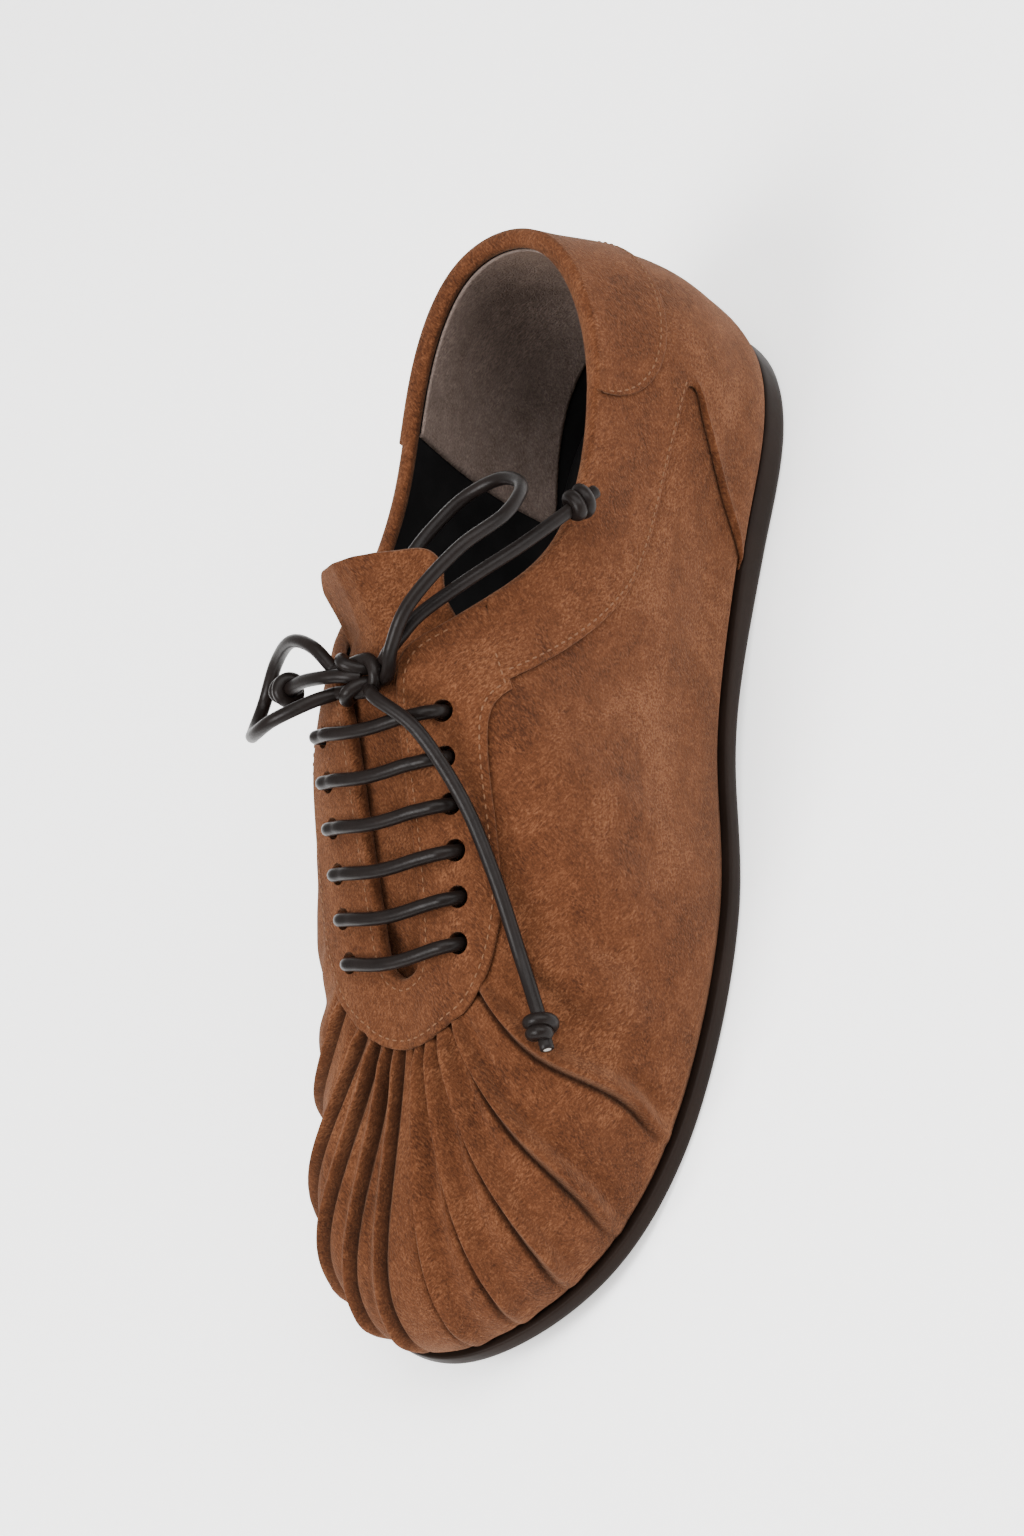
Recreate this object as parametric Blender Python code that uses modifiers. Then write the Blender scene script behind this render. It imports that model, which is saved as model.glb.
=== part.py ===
"""Laced suede loafer for the left foot: a gathered toe, a lacing slot and a thin flat sole.

X runs from heel to toe, Y towards the wearer's left, which is the outer side of this shoe, and Z up. The
origin is on the floor under the middle of the shoe. The upper is a ring of profiles: each row of SECTIONS is one
profile that climbs from the edge of the sole to the edge of the collar or of the lacing slot. The panels laid on
the upper, the tongue and the lacing are all worked out from that one surface. Sizes are in millimetres, measured
from the back of the sole, and become metres in the shoe's own frame when a mesh is made.
"""

import math

import bmesh
import bpy
import numpy as np
from mathutils import Vector

MM = 0.001
GAP = 0.3

# Driving sizes
SOLE_LENGTH = 252.0
SOLE_MARGIN = 2.0
HEEL_THICKNESS = 7.0
FORE_THICKNESS = 4.0
HEEL_FLAT_END = 62.0
FORE_FLAT_START = 150.0
FORE_FLAT_END = 196.0
ARCH_LIFT = 2.2
TOE_SPRING = 7.0
UPPER_WALL = 1.8
PANEL_WALL = 1.2
TONGUE_WALL = 1.6
INSOLE_WALL = 2.0
LACE_RADIUS = 1.5
EYELET_RADIUS = 2.7
EYELET_ROWS = 6
EYELET_FIRST = 177.0
EYELET_STEP = 8.9
EYELET_DEPTH = 12.0
PLEAT_FEET = (6.0, 17.5, 30.0, 44.0, 66.0)
PLEAT_RISE = 1.7

# The middle of the shoe's box, from the back of the sole and from the line through the middle of the heel
MIDDLE_X = 124.4
MIDDLE_Y = -1.06

# Counts of faces
PROFILE_STEPS = 9
FOLD_COLUMNS = (-0.8, 1.2, 2.6, 5.4)
HEEL_COLUMNS = 12
FACING_COLUMNS = 10
SLOT_COLUMNS = 6

SECTION_COLUMNS = ("foot_x", "foot_y", "rim_x", "rim_y", "rim_z", "swell", "rise", "pitch", "reach")
# foot: where the profile leaves the sole; rim: where it ends; swell: how far the low belly pulls outward;
# rise: height of that belly as a share; pitch: slope at the rim in degrees; reach: length of the top bend as
# a share
SECTIONS = {
    "heel_back": (2.0, 0.0, 10.5, 0.0, 68.0, 9.0, 0.42, 70, 0.34),
    "heel_turn_out": (9.5, 19.0, 15.5, 14.0, 67.0, 8.5, 0.42, 71, 0.34),
    "heel_side_out": (30.0, 29.0, 32.5, 24.4, 62.6, 6.5, 0.41, 75, 0.34),
    "collar_low_out": (62.0, 29.8, 63.0, 28.0, 57.0, 5.0, 0.40, 80, 0.34),
    "collar_rise_out": (95.0, 31.8, 91.0, 26.8, 61.5, 3.6, 0.42, 68, 0.34),
    "quarter_out": (118.0, 35.0, 106.0, 20.2, 70.5, 3.0, 0.46, 50, 0.36),
    "facing_turn_out": (132.0, 38.0, 115.5, 13.4, 77.2, 3.0, 0.50, 36, 0.38),
    "facing_top_out": (142.0, 40.0, 122.0, 8.8, 79.6, 3.0, 0.52, 28, 0.40),
    "slot_top_out": (150.0, 41.3, 129.5, 7.2, 76.6, 3.0, 0.54, 22, 0.42),
    "slot_mid_out": (166.0, 42.5, 147.0, 6.6, 67.8, 3.0, 0.55, 18, 0.44),
    "slot_low_out": (190.0, 41.4, 167.0, 6.0, 57.8, 3.0, 0.55, 15, 0.44),
    "slot_end_out": (213.0, 36.6, 178.4, 4.6, 52.5, 3.0, 0.58, 16, 0.42),
    "toe_side_out": (232.0, 27.5, 181.2, 2.6, 51.1, 6.0, 0.68, 20, 0.44),
    "toe_turn_out": (244.8, 12.5, 182.0, 0.8, 50.7, 6.0, 0.68, 23, 0.44),
    "toe_tip": (249.8, -5.0, 182.2, -0.6, 50.6, 6.0, 0.68, 24, 0.44),
    "toe_turn_in": (245.2, -22.5, 181.8, -2.0, 50.7, 6.0, 0.68, 23, 0.44),
    "toe_side_in": (233.0, -36.0, 180.8, -3.6, 51.2, 6.0, 0.68, 20, 0.44),
    "slot_end_in": (214.0, -42.8, 177.8, -5.2, 52.7, 3.0, 0.58, 16, 0.42),
    "slot_low_in": (189.0, -44.6, 166.5, -6.2, 58.0, 3.0, 0.55, 15, 0.44),
    "slot_mid_in": (165.0, -42.0, 147.0, -6.8, 67.8, 3.0, 0.55, 18, 0.44),
    "slot_top_in": (149.0, -38.4, 129.5, -7.4, 76.6, 3.0, 0.54, 22, 0.42),
    "facing_top_in": (141.0, -36.2, 122.0, -9.0, 79.6, 3.0, 0.52, 28, 0.40),
    "facing_turn_in": (131.0, -33.4, 115.5, -13.6, 77.4, 3.0, 0.50, 36, 0.38),
    "quarter_in": (117.0, -30.8, 106.0, -20.4, 71.2, 3.2, 0.46, 50, 0.36),
    "collar_rise_in": (94.0, -28.4, 91.0, -26.4, 62.8, 4.0, 0.42, 68, 0.34),
    "collar_low_in": (62.0, -28.0, 63.0, -27.4, 58.2, 5.0, 0.40, 80, 0.34),
    "heel_side_in": (30.0, -28.0, 32.5, -24.0, 62.8, 6.5, 0.41, 75, 0.34),
    "heel_turn_in": (9.5, -18.4, 15.5, -13.8, 67.0, 8.5, 0.42, 71, 0.34),
}
NORMAL_PULL = 8.0

COLOURS = {
    "suede": ((0.205, 0.078, 0.032, 1.0), 0.95),
    "lace": ((0.022, 0.016, 0.014, 1.0), 0.42),
    "insole": ((0.008, 0.008, 0.008, 1.0), 0.6),
    "sole": ((0.032, 0.022, 0.018, 1.0), 0.55),
}


# Curves and surfaces


def smooth(low, high, x):
    """Eased step from 0 at low to 1 at high."""
    share = np.clip((np.asarray(x, float) - low) / (high - low), 0.0, 1.0)
    return share * share * (3.0 - 2.0 * share)


def closed_spline(knots, values, places):
    """Periodic cubic through rows of values at knots, which start at 0 and stay under 1, read at places."""
    count = len(knots)
    span = np.diff(np.append(knots, 1.0))
    before = np.roll(span, 1)
    row = np.arange(count)
    system = np.zeros((count, count))
    system[row, row] = 2.0 * (before + span)
    system[row, (row + 1) % count] = span
    system[row, (row - 1) % count] = before
    slope = (np.roll(values, -1, axis=0) - values) / span[:, None]
    bend = np.linalg.solve(system, 6.0 * (slope - np.roll(slope, 1, axis=0)))
    where = np.mod(np.asarray(places, float), 1.0)
    left = np.searchsorted(knots, where, side="right") - 1
    right = (left + 1) % count
    width = span[left][..., None]
    after = ((where - knots[left]) / span[left])[..., None]
    ahead = 1.0 - after
    curve = ahead * values[left] + after * values[right]
    return curve + ((ahead**3 - ahead) * bend[left] + (after**3 - after) * bend[right]) * width**2 / 6.0


def section_knots():
    """Place of each section round the shoe, from 0 at the back of the heel, by distance along the edge."""
    feet = np.array([row[:2] for row in SECTIONS.values()])
    steps = np.linalg.norm(np.roll(feet, -1, axis=0) - feet, axis=1)
    return np.concatenate([[0.0], np.cumsum(steps)[:-1]]) / steps.sum(), steps.sum()


KNOTS, EDGE_LENGTH = section_knots()
SECTION_VALUES = np.array(list(SECTIONS.values()), float)
TURN = dict(zip(SECTIONS, KNOTS))


def sections_at(turn):
    """The section columns at each place round the shoe, by name."""
    values = closed_spline(KNOTS, SECTION_VALUES, turn)
    return {name: values[..., i] for i, name in enumerate(SECTION_COLUMNS)}


def sole_bottom(x):
    """Height of the sole's underside: flat heel and forefoot, a low arch between them, and the toe spring."""
    arch = np.sin(np.pi * np.clip((x - HEEL_FLAT_END) / (FORE_FLAT_START - HEEL_FLAT_END), 0.0, 1.0)) ** 2
    spring = np.clip((x - FORE_FLAT_END) / (SOLE_LENGTH - FORE_FLAT_END), 0.0, 1.0) ** 2
    return ARCH_LIFT * arch + TOE_SPRING * spring


def sole_top(x):
    """Height of the sole's upper side, thicker under the heel."""
    return sole_bottom(x) + HEEL_THICKNESS + (FORE_THICKNESS - HEEL_THICKNESS) * smooth(46.0, 112.0, x)


def unit(vectors):
    return vectors / np.linalg.norm(vectors, axis=-1, keepdims=True)


def edge_inward(turn):
    """Level direction square to the sole's edge, pointing into the shoe."""
    ahead = closed_spline(KNOTS, SECTION_VALUES[:, :2], turn + 1e-4)
    behind = closed_spline(KNOTS, SECTION_VALUES[:, :2], turn - 1e-4)
    run = ahead - behind
    return unit(np.stack([run[..., 1], -run[..., 0]], axis=-1))


def skin(turn, climb):
    """Outer face of the upper: a cubic profile at each turn, from the sole at climb 0 to the rim at climb 1."""
    turn, climb = np.broadcast_arrays(np.asarray(turn, float), np.asarray(climb, float))
    at = sections_at(turn)
    foot = np.stack([at["foot_x"], at["foot_y"], sole_top(at["foot_x"]) + GAP], axis=-1)
    rim = np.stack([at["rim_x"], at["rim_y"], at["rim_z"]], axis=-1)
    inward = edge_inward(turn)
    lean = unit((rim - foot)[..., :2] + NORMAL_PULL * inward)
    pitch = np.radians(at["pitch"])[..., None]
    arrive = np.concatenate([lean * np.cos(pitch), np.sin(pitch)], axis=-1)
    belly = foot.copy()
    belly[..., :2] -= at["swell"][..., None] * inward
    belly[..., 2] += at["rise"] * (rim - foot)[..., 2]
    shoulder = rim - arrive * (at["reach"] * np.linalg.norm(rim - foot, axis=-1))[..., None]
    share = climb[..., None]
    rest = 1.0 - share
    return rest**3 * foot + 3 * rest**2 * share * belly + 3 * rest * share**2 * shoulder + share**3 * rim


def skin_out(turn, climb):
    """Direction square to the outer face, pointing out of the shoe."""
    step = 1e-4
    low, high = np.clip(climb - step, 0.0, 1.0), np.clip(climb + step, 0.0, 1.0)
    along = skin(turn + step, climb) - skin(turn - step, climb)
    return unit(np.cross(skin(turn, high) - skin(turn, low), along))


def lifted(turn, climb, lift):
    """A point that stands lift off the outer face, or inside it where lift is negative."""
    turn, climb = np.broadcast_arrays(np.asarray(turn, float), np.asarray(climb, float))
    return skin(turn, climb) + np.asarray(lift)[..., None] * skin_out(turn, climb)


def climb_at_depth(turn, depth):
    """Climb at which each profile lies depth below its rim, measured along the profile."""
    climbs = np.linspace(1.0, 0.0, 121)
    lines = skin(np.asarray(turn)[:, None], climbs[None, :])
    runs = np.cumsum(np.linalg.norm(np.diff(lines, axis=1), axis=2), axis=1)
    runs = np.concatenate([np.zeros((len(lines), 1)), runs], axis=1)
    return np.array([np.interp(d, run, climbs) for d, run in zip(np.broadcast_to(depth, len(runs)), runs)])


# Gathers of the toe


PLEAT_STEEP = 2.2
PLEAT_SOFT = 6.5
PLEAT_CLEAR = 7.5


def pleat_places():
    """Places round the shoe of the ten creases, each with the side of the toe's middle that it lies on."""
    return [(TURN["toe_tip"] + side * foot / EDGE_LENGTH, side) for side in (-1.0, 1.0) for foot in PLEAT_FEET]


def pleat_height(turn, climb):
    """Height of the gathers: each is a fold, steep on the side of the toe's middle and soft on the other."""
    height = np.zeros(np.broadcast(turn, climb).shape)
    for place, side in pleat_places():
        away = (turn - place) * EDGE_LENGTH * side
        fold = smooth(0.0, PLEAT_STEEP, away) * (1.0 - smooth(PLEAT_STEEP, PLEAT_STEEP + PLEAT_SOFT, away))
        height = np.maximum(height, fold)
    top = climb_at_depth(np.ravel(turn), eyestay_depth(np.ravel(turn)) + PLEAT_CLEAR).reshape(np.shape(turn))
    fade = smooth(0.0, 0.10, climb) * 0.6 + 0.4
    return PLEAT_RISE * height * fade * (1.0 - smooth(top - 0.10, top, climb))


# Panels laid on the upper


EYESTAY_SIDE = 23.0
EYESTAY_FRONT = 15.0
TAB_DEPTH = 24.0
TAB_END = TURN["heel_side_out"] + 0.033
SEAM_GAP = 0.9
PANEL_FOOT = 0.015


def eyestay_depth(turn):
    """Width of the eyestay from the rim: narrow at the front, full beside the slot, nothing where it ends."""
    from_tip = np.abs(turn - TURN["toe_tip"])
    side = EYESTAY_FRONT + (EYESTAY_SIDE - EYESTAY_FRONT) * smooth(0.07, 0.17, from_tip)
    outer = np.interp(turn, [TURN["quarter_out"], TURN["facing_turn_out"] + 0.006], [0.0, 1.0])
    inner = np.interp(turn, [TURN["facing_turn_in"] - 0.006, TURN["quarter_in"]], [1.0, 0.0])
    return side * np.minimum(outer, inner)


def tab_depth(turn):
    """Depth of the heel tab below the collar: a flat bow with rounded ends."""
    from_back = np.abs(np.mod(turn + 0.5, 1.0) - 0.5) / TAB_END
    return TAB_DEPTH * np.sqrt(np.clip(1.0 - from_back**4, 0.0, 1.0))


# Making objects


def empty_scene():
    for old in list(bpy.data.objects):
        bpy.data.objects.remove(old)


def collection(name):
    made = bpy.data.collections.new(name)
    bpy.context.scene.collection.children.link(made)
    return made


def material(owner, finish):
    colour, roughness = COLOURS[finish]
    made = bpy.data.materials.new(owner + "_" + finish)
    made.use_nodes = True
    shader = made.node_tree.nodes["Principled BSDF"]
    shader.inputs["Base Color"].default_value = colour
    shader.inputs["Roughness"].default_value = roughness
    shader.inputs["Metallic"].default_value = 0.0
    return made


def in_frame(points):
    """Millimetres from the back of the sole, as metres from the middle of the shoe."""
    return (np.asarray(points, float) - (MIDDLE_X, MIDDLE_Y, 0.0)) * MM


def loft(name, rows, closed, group, finish, fill=False):
    """A sheet through rows of points, with faces between each row and the next, and round if closed."""
    rows = in_frame(rows)
    mesh = bpy.data.meshes.new(name)
    form = bmesh.new()
    corners = [[form.verts.new(point) for point in row] for row in rows]
    last = len(rows) if closed else len(rows) - 1
    for i in range(last):
        here, following = corners[i], corners[(i + 1) % len(rows)]
        for j in range(len(here) - 1):
            form.faces.new((here[j], here[j + 1], following[j + 1], following[j]))
    bmesh.ops.remove_doubles(form, verts=form.verts, dist=0.01 * MM)
    bmesh.ops.dissolve_degenerate(form, edges=form.edges, dist=0.01 * MM)
    if fill:
        ends = [edge for edge in form.edges if edge.is_boundary]
        caps = bmesh.ops.holes_fill(form, edges=ends, sides=0)["faces"]
        bmesh.ops.triangulate(form, faces=caps)
        bmesh.ops.recalc_face_normals(form, faces=form.faces)
    form.to_mesh(mesh)
    form.free()
    made = bpy.data.objects.new(name, mesh)
    made.data.materials.append(material(name, finish))
    group.objects.link(made)
    return made


def shade(item):
    item.data.shade_smooth()
    item.data.set_sharp_from_angle(angle=math.radians(35))


def thicken(item, wall, offset):
    """Gives a sheet its wall: offset -1 grows it inward from the sheet, and 1 outward."""
    solid = item.modifiers.new("wall", "SOLIDIFY")
    solid.thickness = wall * MM
    solid.offset = offset
    solid.use_even_offset = False
    return solid


def cut(item, cutter):
    trim = item.modifiers.new("cut by " + cutter.name, "BOOLEAN")
    trim.operation = "DIFFERENCE"
    trim.object = cutter


def as_cutter(item):
    item.hide_render = True
    item.display_type = "WIRE"
    return item


# Sole and insole


SPINE_HEEL = 32.0
SPINE_TOE = 212.0
SOLE_EDGE = ((-1.2, 0.0), (-0.3, 0.16), (0.0, 0.45), (0.0, 0.80), (-0.5, 1.0))
RING_SHARES = (0.6, 0.12)
SOLE_POINTS = 60
INSOLE_POINTS = 48


def edge_ring(outset, count):
    """The sole's edge in plan, moved outward by outset, with the matching points of the spine."""
    turn = np.arange(count) / count
    edge = closed_spline(KNOTS, SECTION_VALUES[:, :2], turn) - outset * edge_inward(turn)
    spine_x = np.clip(edge[:, 0], SPINE_HEEL, SPINE_TOE)
    spine_y = np.interp(spine_x, [SPINE_HEEL, 100.0, 175.0, SPINE_TOE], [0.0, 1.0, -1.0, -4.0])
    return edge, np.stack([spine_x, spine_y], axis=-1)


def level(plan, height):
    return np.concatenate([plan, height(plan[:, 0])[:, None]], axis=1)


def plate(name, count, outset, edge_steps, bottom, top, group, finish):
    """A closed plate with the sole's outline: underside, stepped edge and upper side as rings of points."""
    rings = []
    base, spine = edge_ring(outset + edge_steps[0][0], count)
    for share in reversed(RING_SHARES):
        rings.append(level(spine + (base - spine) * share, bottom))
    for step_out, share in edge_steps:
        edge, spine = edge_ring(outset + step_out, count)
        rings.append(level(edge, lambda x, s=share: bottom(x) + (top(x) - bottom(x)) * s))
    crown, spine = edge_ring(outset + edge_steps[-1][0], count)
    for share in RING_SHARES:
        rings.append(level(spine + (crown - spine) * share, top))
    made = loft(name, np.array(rings).transpose(1, 0, 2), True, group, finish, fill=True)
    shade(made)
    return made


def outsole(group):
    return plate("outsole", SOLE_POINTS, SOLE_MARGIN, SOLE_EDGE, sole_bottom, sole_top, group, "sole")


INSOLE_INSET = UPPER_WALL + 0.7
INSOLE_EDGE = ((0.0, 0.0), (0.0, 0.7), (-0.6, 1.0))


def insole(group):
    def under(x):
        return sole_top(x) + GAP

    def over(x):
        return sole_top(x) + GAP + INSOLE_WALL

    return plate("insole", INSOLE_POINTS, -INSOLE_INSET, INSOLE_EDGE, under, over, group, "insole")


# Upper and its panels


def toe_turns():
    """Places of the toe's columns: four to each fold, from its crease to its soft side."""
    folds = [(place, side / EDGE_LENGTH) for place, side in pleat_places()]
    return np.sort([place + pace * step for place, pace in folds for step in FOLD_COLUMNS])


def upper_turns():
    """Places of the upper's columns: close together round the gathered toe and the facings, wider elsewhere."""
    toe = toe_turns()
    stops = (
        (0.0, HEEL_COLUMNS),
        (TURN["collar_rise_out"] + 0.020, FACING_COLUMNS),
        (TURN["slot_top_out"], SLOT_COLUMNS),
        (toe[0] - 0.002, 0),
        (toe[-1] + 0.002, SLOT_COLUMNS),
        (TURN["slot_top_in"], FACING_COLUMNS),
        (TURN["collar_rise_in"] - 0.020, HEEL_COLUMNS),
        (1.0, 0),
    )
    pairs = zip(stops, stops[1:])
    spans = [np.linspace(start, end, count, endpoint=False) for (start, count), (end, _) in pairs]
    return np.sort(np.concatenate(spans + [toe]))


def upper(group):
    turn = upper_turns()[:, None]
    climb = np.linspace(0.0, 1.0, PROFILE_STEPS)[None, :]
    turn, climb = np.broadcast_arrays(turn, climb)
    made = loft("upper", lifted(turn, climb, pleat_height(turn, climb)), True, group, "suede")
    thicken(made, UPPER_WALL, -1)
    shade(made)
    return made


def panel_rows(turn, depth_low, steps, lift):
    """Rows of points from depth_low below the rim up to the rim, standing lift off the upper."""
    low = climb_at_depth(turn, depth_low)
    climb = low[:, None] + (1.0 - low[:, None]) * np.linspace(0.0, 1.0, steps)[None, :]
    return lifted(turn[:, None], climb, lift)


def eyestay(group):
    start, end = TURN["quarter_out"] + 0.002, TURN["quarter_in"] - 0.002
    around = upper_turns()
    inside = around[(around > start + 0.003) & (around < end - 0.003)]
    turn = np.concatenate([[start], inside, [end]])
    made = loft("eyestay", panel_rows(turn, eyestay_depth(turn), 4, GAP), False, group, "suede")
    thicken(made, PANEL_WALL, 1)
    shade(made)
    return made


def heel_tab(group):
    turn = np.linspace(-TAB_END, TAB_END, 21)
    lift = GAP + PANEL_WALL + GAP
    depth = np.maximum(tab_depth(turn), 1.0)
    made = loft("heel_tab", panel_rows(turn, depth, 5, lift), False, group, "suede")
    thicken(made, PANEL_WALL, 1)
    shade(made)
    return made


# Side view of the vamp's wing, which the quarter panel leaves bare: from the sole, up the slanting seam to the
# round tip, and forward along the collar band
WING_FOOT = (68.0, 2.0)
WING_TIP = (37.0, 31.5)
WING_TIP_RADIUS = 3.2
WING_TIP_TURN = (232, 180, 128, 96)
WING_FORE = ((52.0, 35.5), (70.0, 36.2), (90.0, 39.8), (106.0, 49.0), (116.0, 57.0), (125.0, 65.5))
WING_FAR = ((175.0, 65.5), (175.0, 2.0))


def flat_cutter(name, outline, half_width, group):
    """A prism through the whole width of the shoe, from an outline in side view."""
    shape = bpy.data.curves.new(name, "CURVE")
    shape.dimensions = "2D"
    shape.fill_mode = "BOTH"
    shape.extrude = half_width * MM
    line = shape.splines.new("POLY")
    line.points.add(len(outline) - 1)
    for point, (x, z) in zip(line.points, outline):
        point.co = ((x - MIDDLE_X) * MM, z * MM, 0.0, 1.0)
    line.use_cyclic_u = True
    drawn = bpy.data.objects.new(name + "_outline", shape)
    drawn.rotation_euler = (math.pi / 2, 0.0, 0.0)
    group.objects.link(drawn)
    bpy.context.view_layer.update()
    ready = drawn.evaluated_get(bpy.context.evaluated_depsgraph_get())
    mesh = bpy.data.meshes.new_from_object(ready)
    form = bmesh.new()
    form.from_mesh(mesh)
    bmesh.ops.remove_doubles(form, verts=form.verts, dist=0.01 * MM)
    bmesh.ops.recalc_face_normals(form, faces=form.faces)
    form.to_mesh(mesh)
    form.free()
    made = bpy.data.objects.new(name, mesh)
    made.matrix_world = drawn.matrix_world
    group.objects.link(made)
    bpy.data.objects.remove(drawn)
    return as_cutter(made)


def wing_outline():
    """Side view of the vamp's wing: its rear edge, round the tip, along its upper edge and past the panel."""
    turned = np.radians(WING_TIP_TURN)
    tip_x = WING_TIP[0] + WING_TIP_RADIUS * (1.0 + np.cos(turned))
    tip_z = WING_TIP[1] + WING_TIP_RADIUS * np.sin(turned)
    return [WING_FOOT, *zip(tip_x, tip_z), *WING_FORE, *WING_FAR]


def facing_seam(top, full):
    """Place round the shoe of the eyestay's end seam, as a list of climbs and of turns, clear of its edge."""
    turn = np.linspace(top, full, 40)
    return climb_at_depth(turn, eyestay_depth(turn)), turn


def quarter_panel(group, cutters):
    """Heel counter and collar band in one: a second skin round the back as far as the eyestay, less the wing."""
    climb = np.maximum(np.linspace(0.0, 1.0, PROFILE_STEPS), PANEL_FOOT)
    low_out, seam_out = facing_seam(TURN["quarter_out"], TURN["facing_turn_out"] + 0.006)
    low_in, seam_in = facing_seam(TURN["quarter_in"], TURN["facing_turn_in"] - 0.006)
    front_out = np.interp(climb, low_out[::-1], seam_out[::-1]) - SEAM_GAP / EDGE_LENGTH
    front_in = np.interp(climb, low_in[::-1], seam_in[::-1]) - 1.0 + SEAM_GAP / EDGE_LENGTH
    share = np.linspace(-1.0, 1.0, 43)[:, None]
    turn = np.where(share > 0.0, share * front_out, -share * front_in)
    made = loft("quarter_panel", lifted(turn, climb[None, :], GAP), False, group, "suede")
    thicken(made, PANEL_WALL, 1)
    cut(made, flat_cutter("wing_cutter", wing_outline(), 80.0, cutters))
    shade(made)
    return made


# Tongue


TONGUE_LIFT = -(UPPER_WALL + 0.9)
# row: the section pair the tongue lies under; shift: moved on from it towards the heel, round the shoe;
# tuck: how far the edges reach below the rim; crown: rise of the middle
TONGUE_ROWS = (
    ("slot_low", 0.0, 16.0, 0.0),
    ("slot_mid", 0.0, 16.0, 0.0),
    ("slot_top", 0.0, 15.0, 0.2),
    ("facing_top", 0.0, 12.5, 0.6),
    ("facing_top", 0.006, 10.5, 1.2),
    ("facing_top", 0.012, 8.0, 2.6),
    ("facing_turn", 0.0, 7.0, 4.4),
    ("facing_turn", 0.006, 3.6, 7.4),
    ("facing_turn", 0.011, 1.5, 10.6),
)
# shift along and up, under the vamp and above the facings, with the shares of width and height that are kept
# and the distance that the edges sweep back
TONGUE_FRONT = ((20.0, -13.2, 0.94, 0.94, 0.0), (9.0, -6.1, 0.98, 0.98, 0.0))
TONGUE_TOP = (
    (-4.0, 4.2, 0.97, 0.92, 0.0), (-7.0, 7.4, 1.09, 0.80, -2.3), (-8.4, 8.7, 1.12, 0.73, -3.6),
    (-8.8, 9.0, 1.03, 0.68, -3.8),
)
TONGUE_SIDE_POINTS = 4
TONGUE_MIDDLE_POINTS = 5


def tongue_row(name, shift, tuck, crown):
    """Points across the tongue, inner side first: inside the upper at each side, bowed over the slot."""
    depth = np.linspace(tuck, 0.0, TONGUE_SIDE_POINTS)
    sides = []
    for end, back in (("_in", shift), ("_out", -shift)):
        turn = np.full(TONGUE_SIDE_POINTS, TURN[name + end] + back)
        sides.append(lifted(turn, climb_at_depth(turn, depth), TONGUE_LIFT))
    inner, outer = sides[0], sides[1][::-1]
    share = np.linspace(0.0, 1.0, TONGUE_MIDDLE_POINTS + 2)[1:-1, None]
    middle = inner[-1] + (outer[0] - inner[-1]) * share
    middle[:, 2] += crown * (1.0 - (2.0 * share[:, 0] - 1.0) ** 2) ** 1.5
    return np.concatenate([inner, middle, outer])


def moved(row, shift):
    """A copy of a row, moved along and up, scaled about its middle, with its edges swept back."""
    along, up, wide, tall, sweep = shift
    centre = row[len(row) // 2]
    copy = centre + (row - centre) * (1.0, wide, tall) + (along, 0.0, up)
    from_middle = np.abs(row[:, 1] - centre[1]) / np.abs(row[:, 1] - centre[1]).max()
    copy[:, 0] += sweep * from_middle**2
    return copy


def tongue(group):
    rows = [tongue_row(*line) for line in TONGUE_ROWS]
    front = [moved(rows[0], shift) for shift in TONGUE_FRONT]
    top = [moved(rows[-1], shift) for shift in TONGUE_TOP]
    made = loft("tongue", np.array(front + rows + top), False, group, "suede")
    thicken(made, TONGUE_WALL, -1)
    shade(made)
    return made


# Eyelets and lacing


def beside_slot(side, depth, along):
    """Turn and climb of one side's points that lie depth below the rim, at given places along the shoe."""
    turn = np.linspace(TURN["facing_top" + side], TURN["toe_side" + side], 200)
    reach = skin(turn, climb_at_depth(turn, depth))[:, 0]
    place = np.interp(along, reach, turn)
    return place, climb_at_depth(place, depth)


def eyelet_rows():
    """Places along the shoe of the rows of eyelets, front first."""
    return EYELET_FIRST - EYELET_STEP * np.arange(EYELET_ROWS)


def eyelet_cutter(group):
    """One cutter for all the eyelets: a prism square to the eyestay at each of them."""
    mesh = bpy.data.meshes.new("eyelet_cutter")
    form = bmesh.new()
    for side in ("_out", "_in"):
        turn, climb = beside_slot(side, EYELET_DEPTH, eyelet_rows())
        for centre, out in zip(in_frame(skin(turn, climb)), skin_out(turn, climb)):
            stand = Vector(out).to_track_quat("Z", "Y").to_matrix().to_4x4()
            stand.translation = Vector(centre)
            bmesh.ops.create_cone(form, cap_ends=True, segments=8, radius1=EYELET_RADIUS * MM,
                                  radius2=EYELET_RADIUS * MM, depth=12.0 * MM, matrix=stand)
    form.to_mesh(mesh)
    form.free()
    made = bpy.data.objects.new("eyelet_cutter", mesh)
    group.objects.link(made)
    return as_cutter(made)


def smooth_path(points, spacing):
    """Points along the soft curve through the given points, about spacing apart."""
    points = np.asarray(points, float)
    padded = np.concatenate([[2 * points[0] - points[1]], points, [2 * points[-1] - points[-2]]])
    line = []
    for before, start, end, after in zip(padded, padded[1:], padded[2:], padded[3:]):
        count = max(1, round(float(np.linalg.norm(end - start)) / spacing))
        for share in np.arange(count) / count:
            pull = (end - before) * share + (2 * before - 5 * start + 4 * end - after) * share**2
            line.append(start + 0.5 * (pull + (3 * start - before - 3 * end + after) * share**3))
    return np.array(line + [points[-1]])


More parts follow.
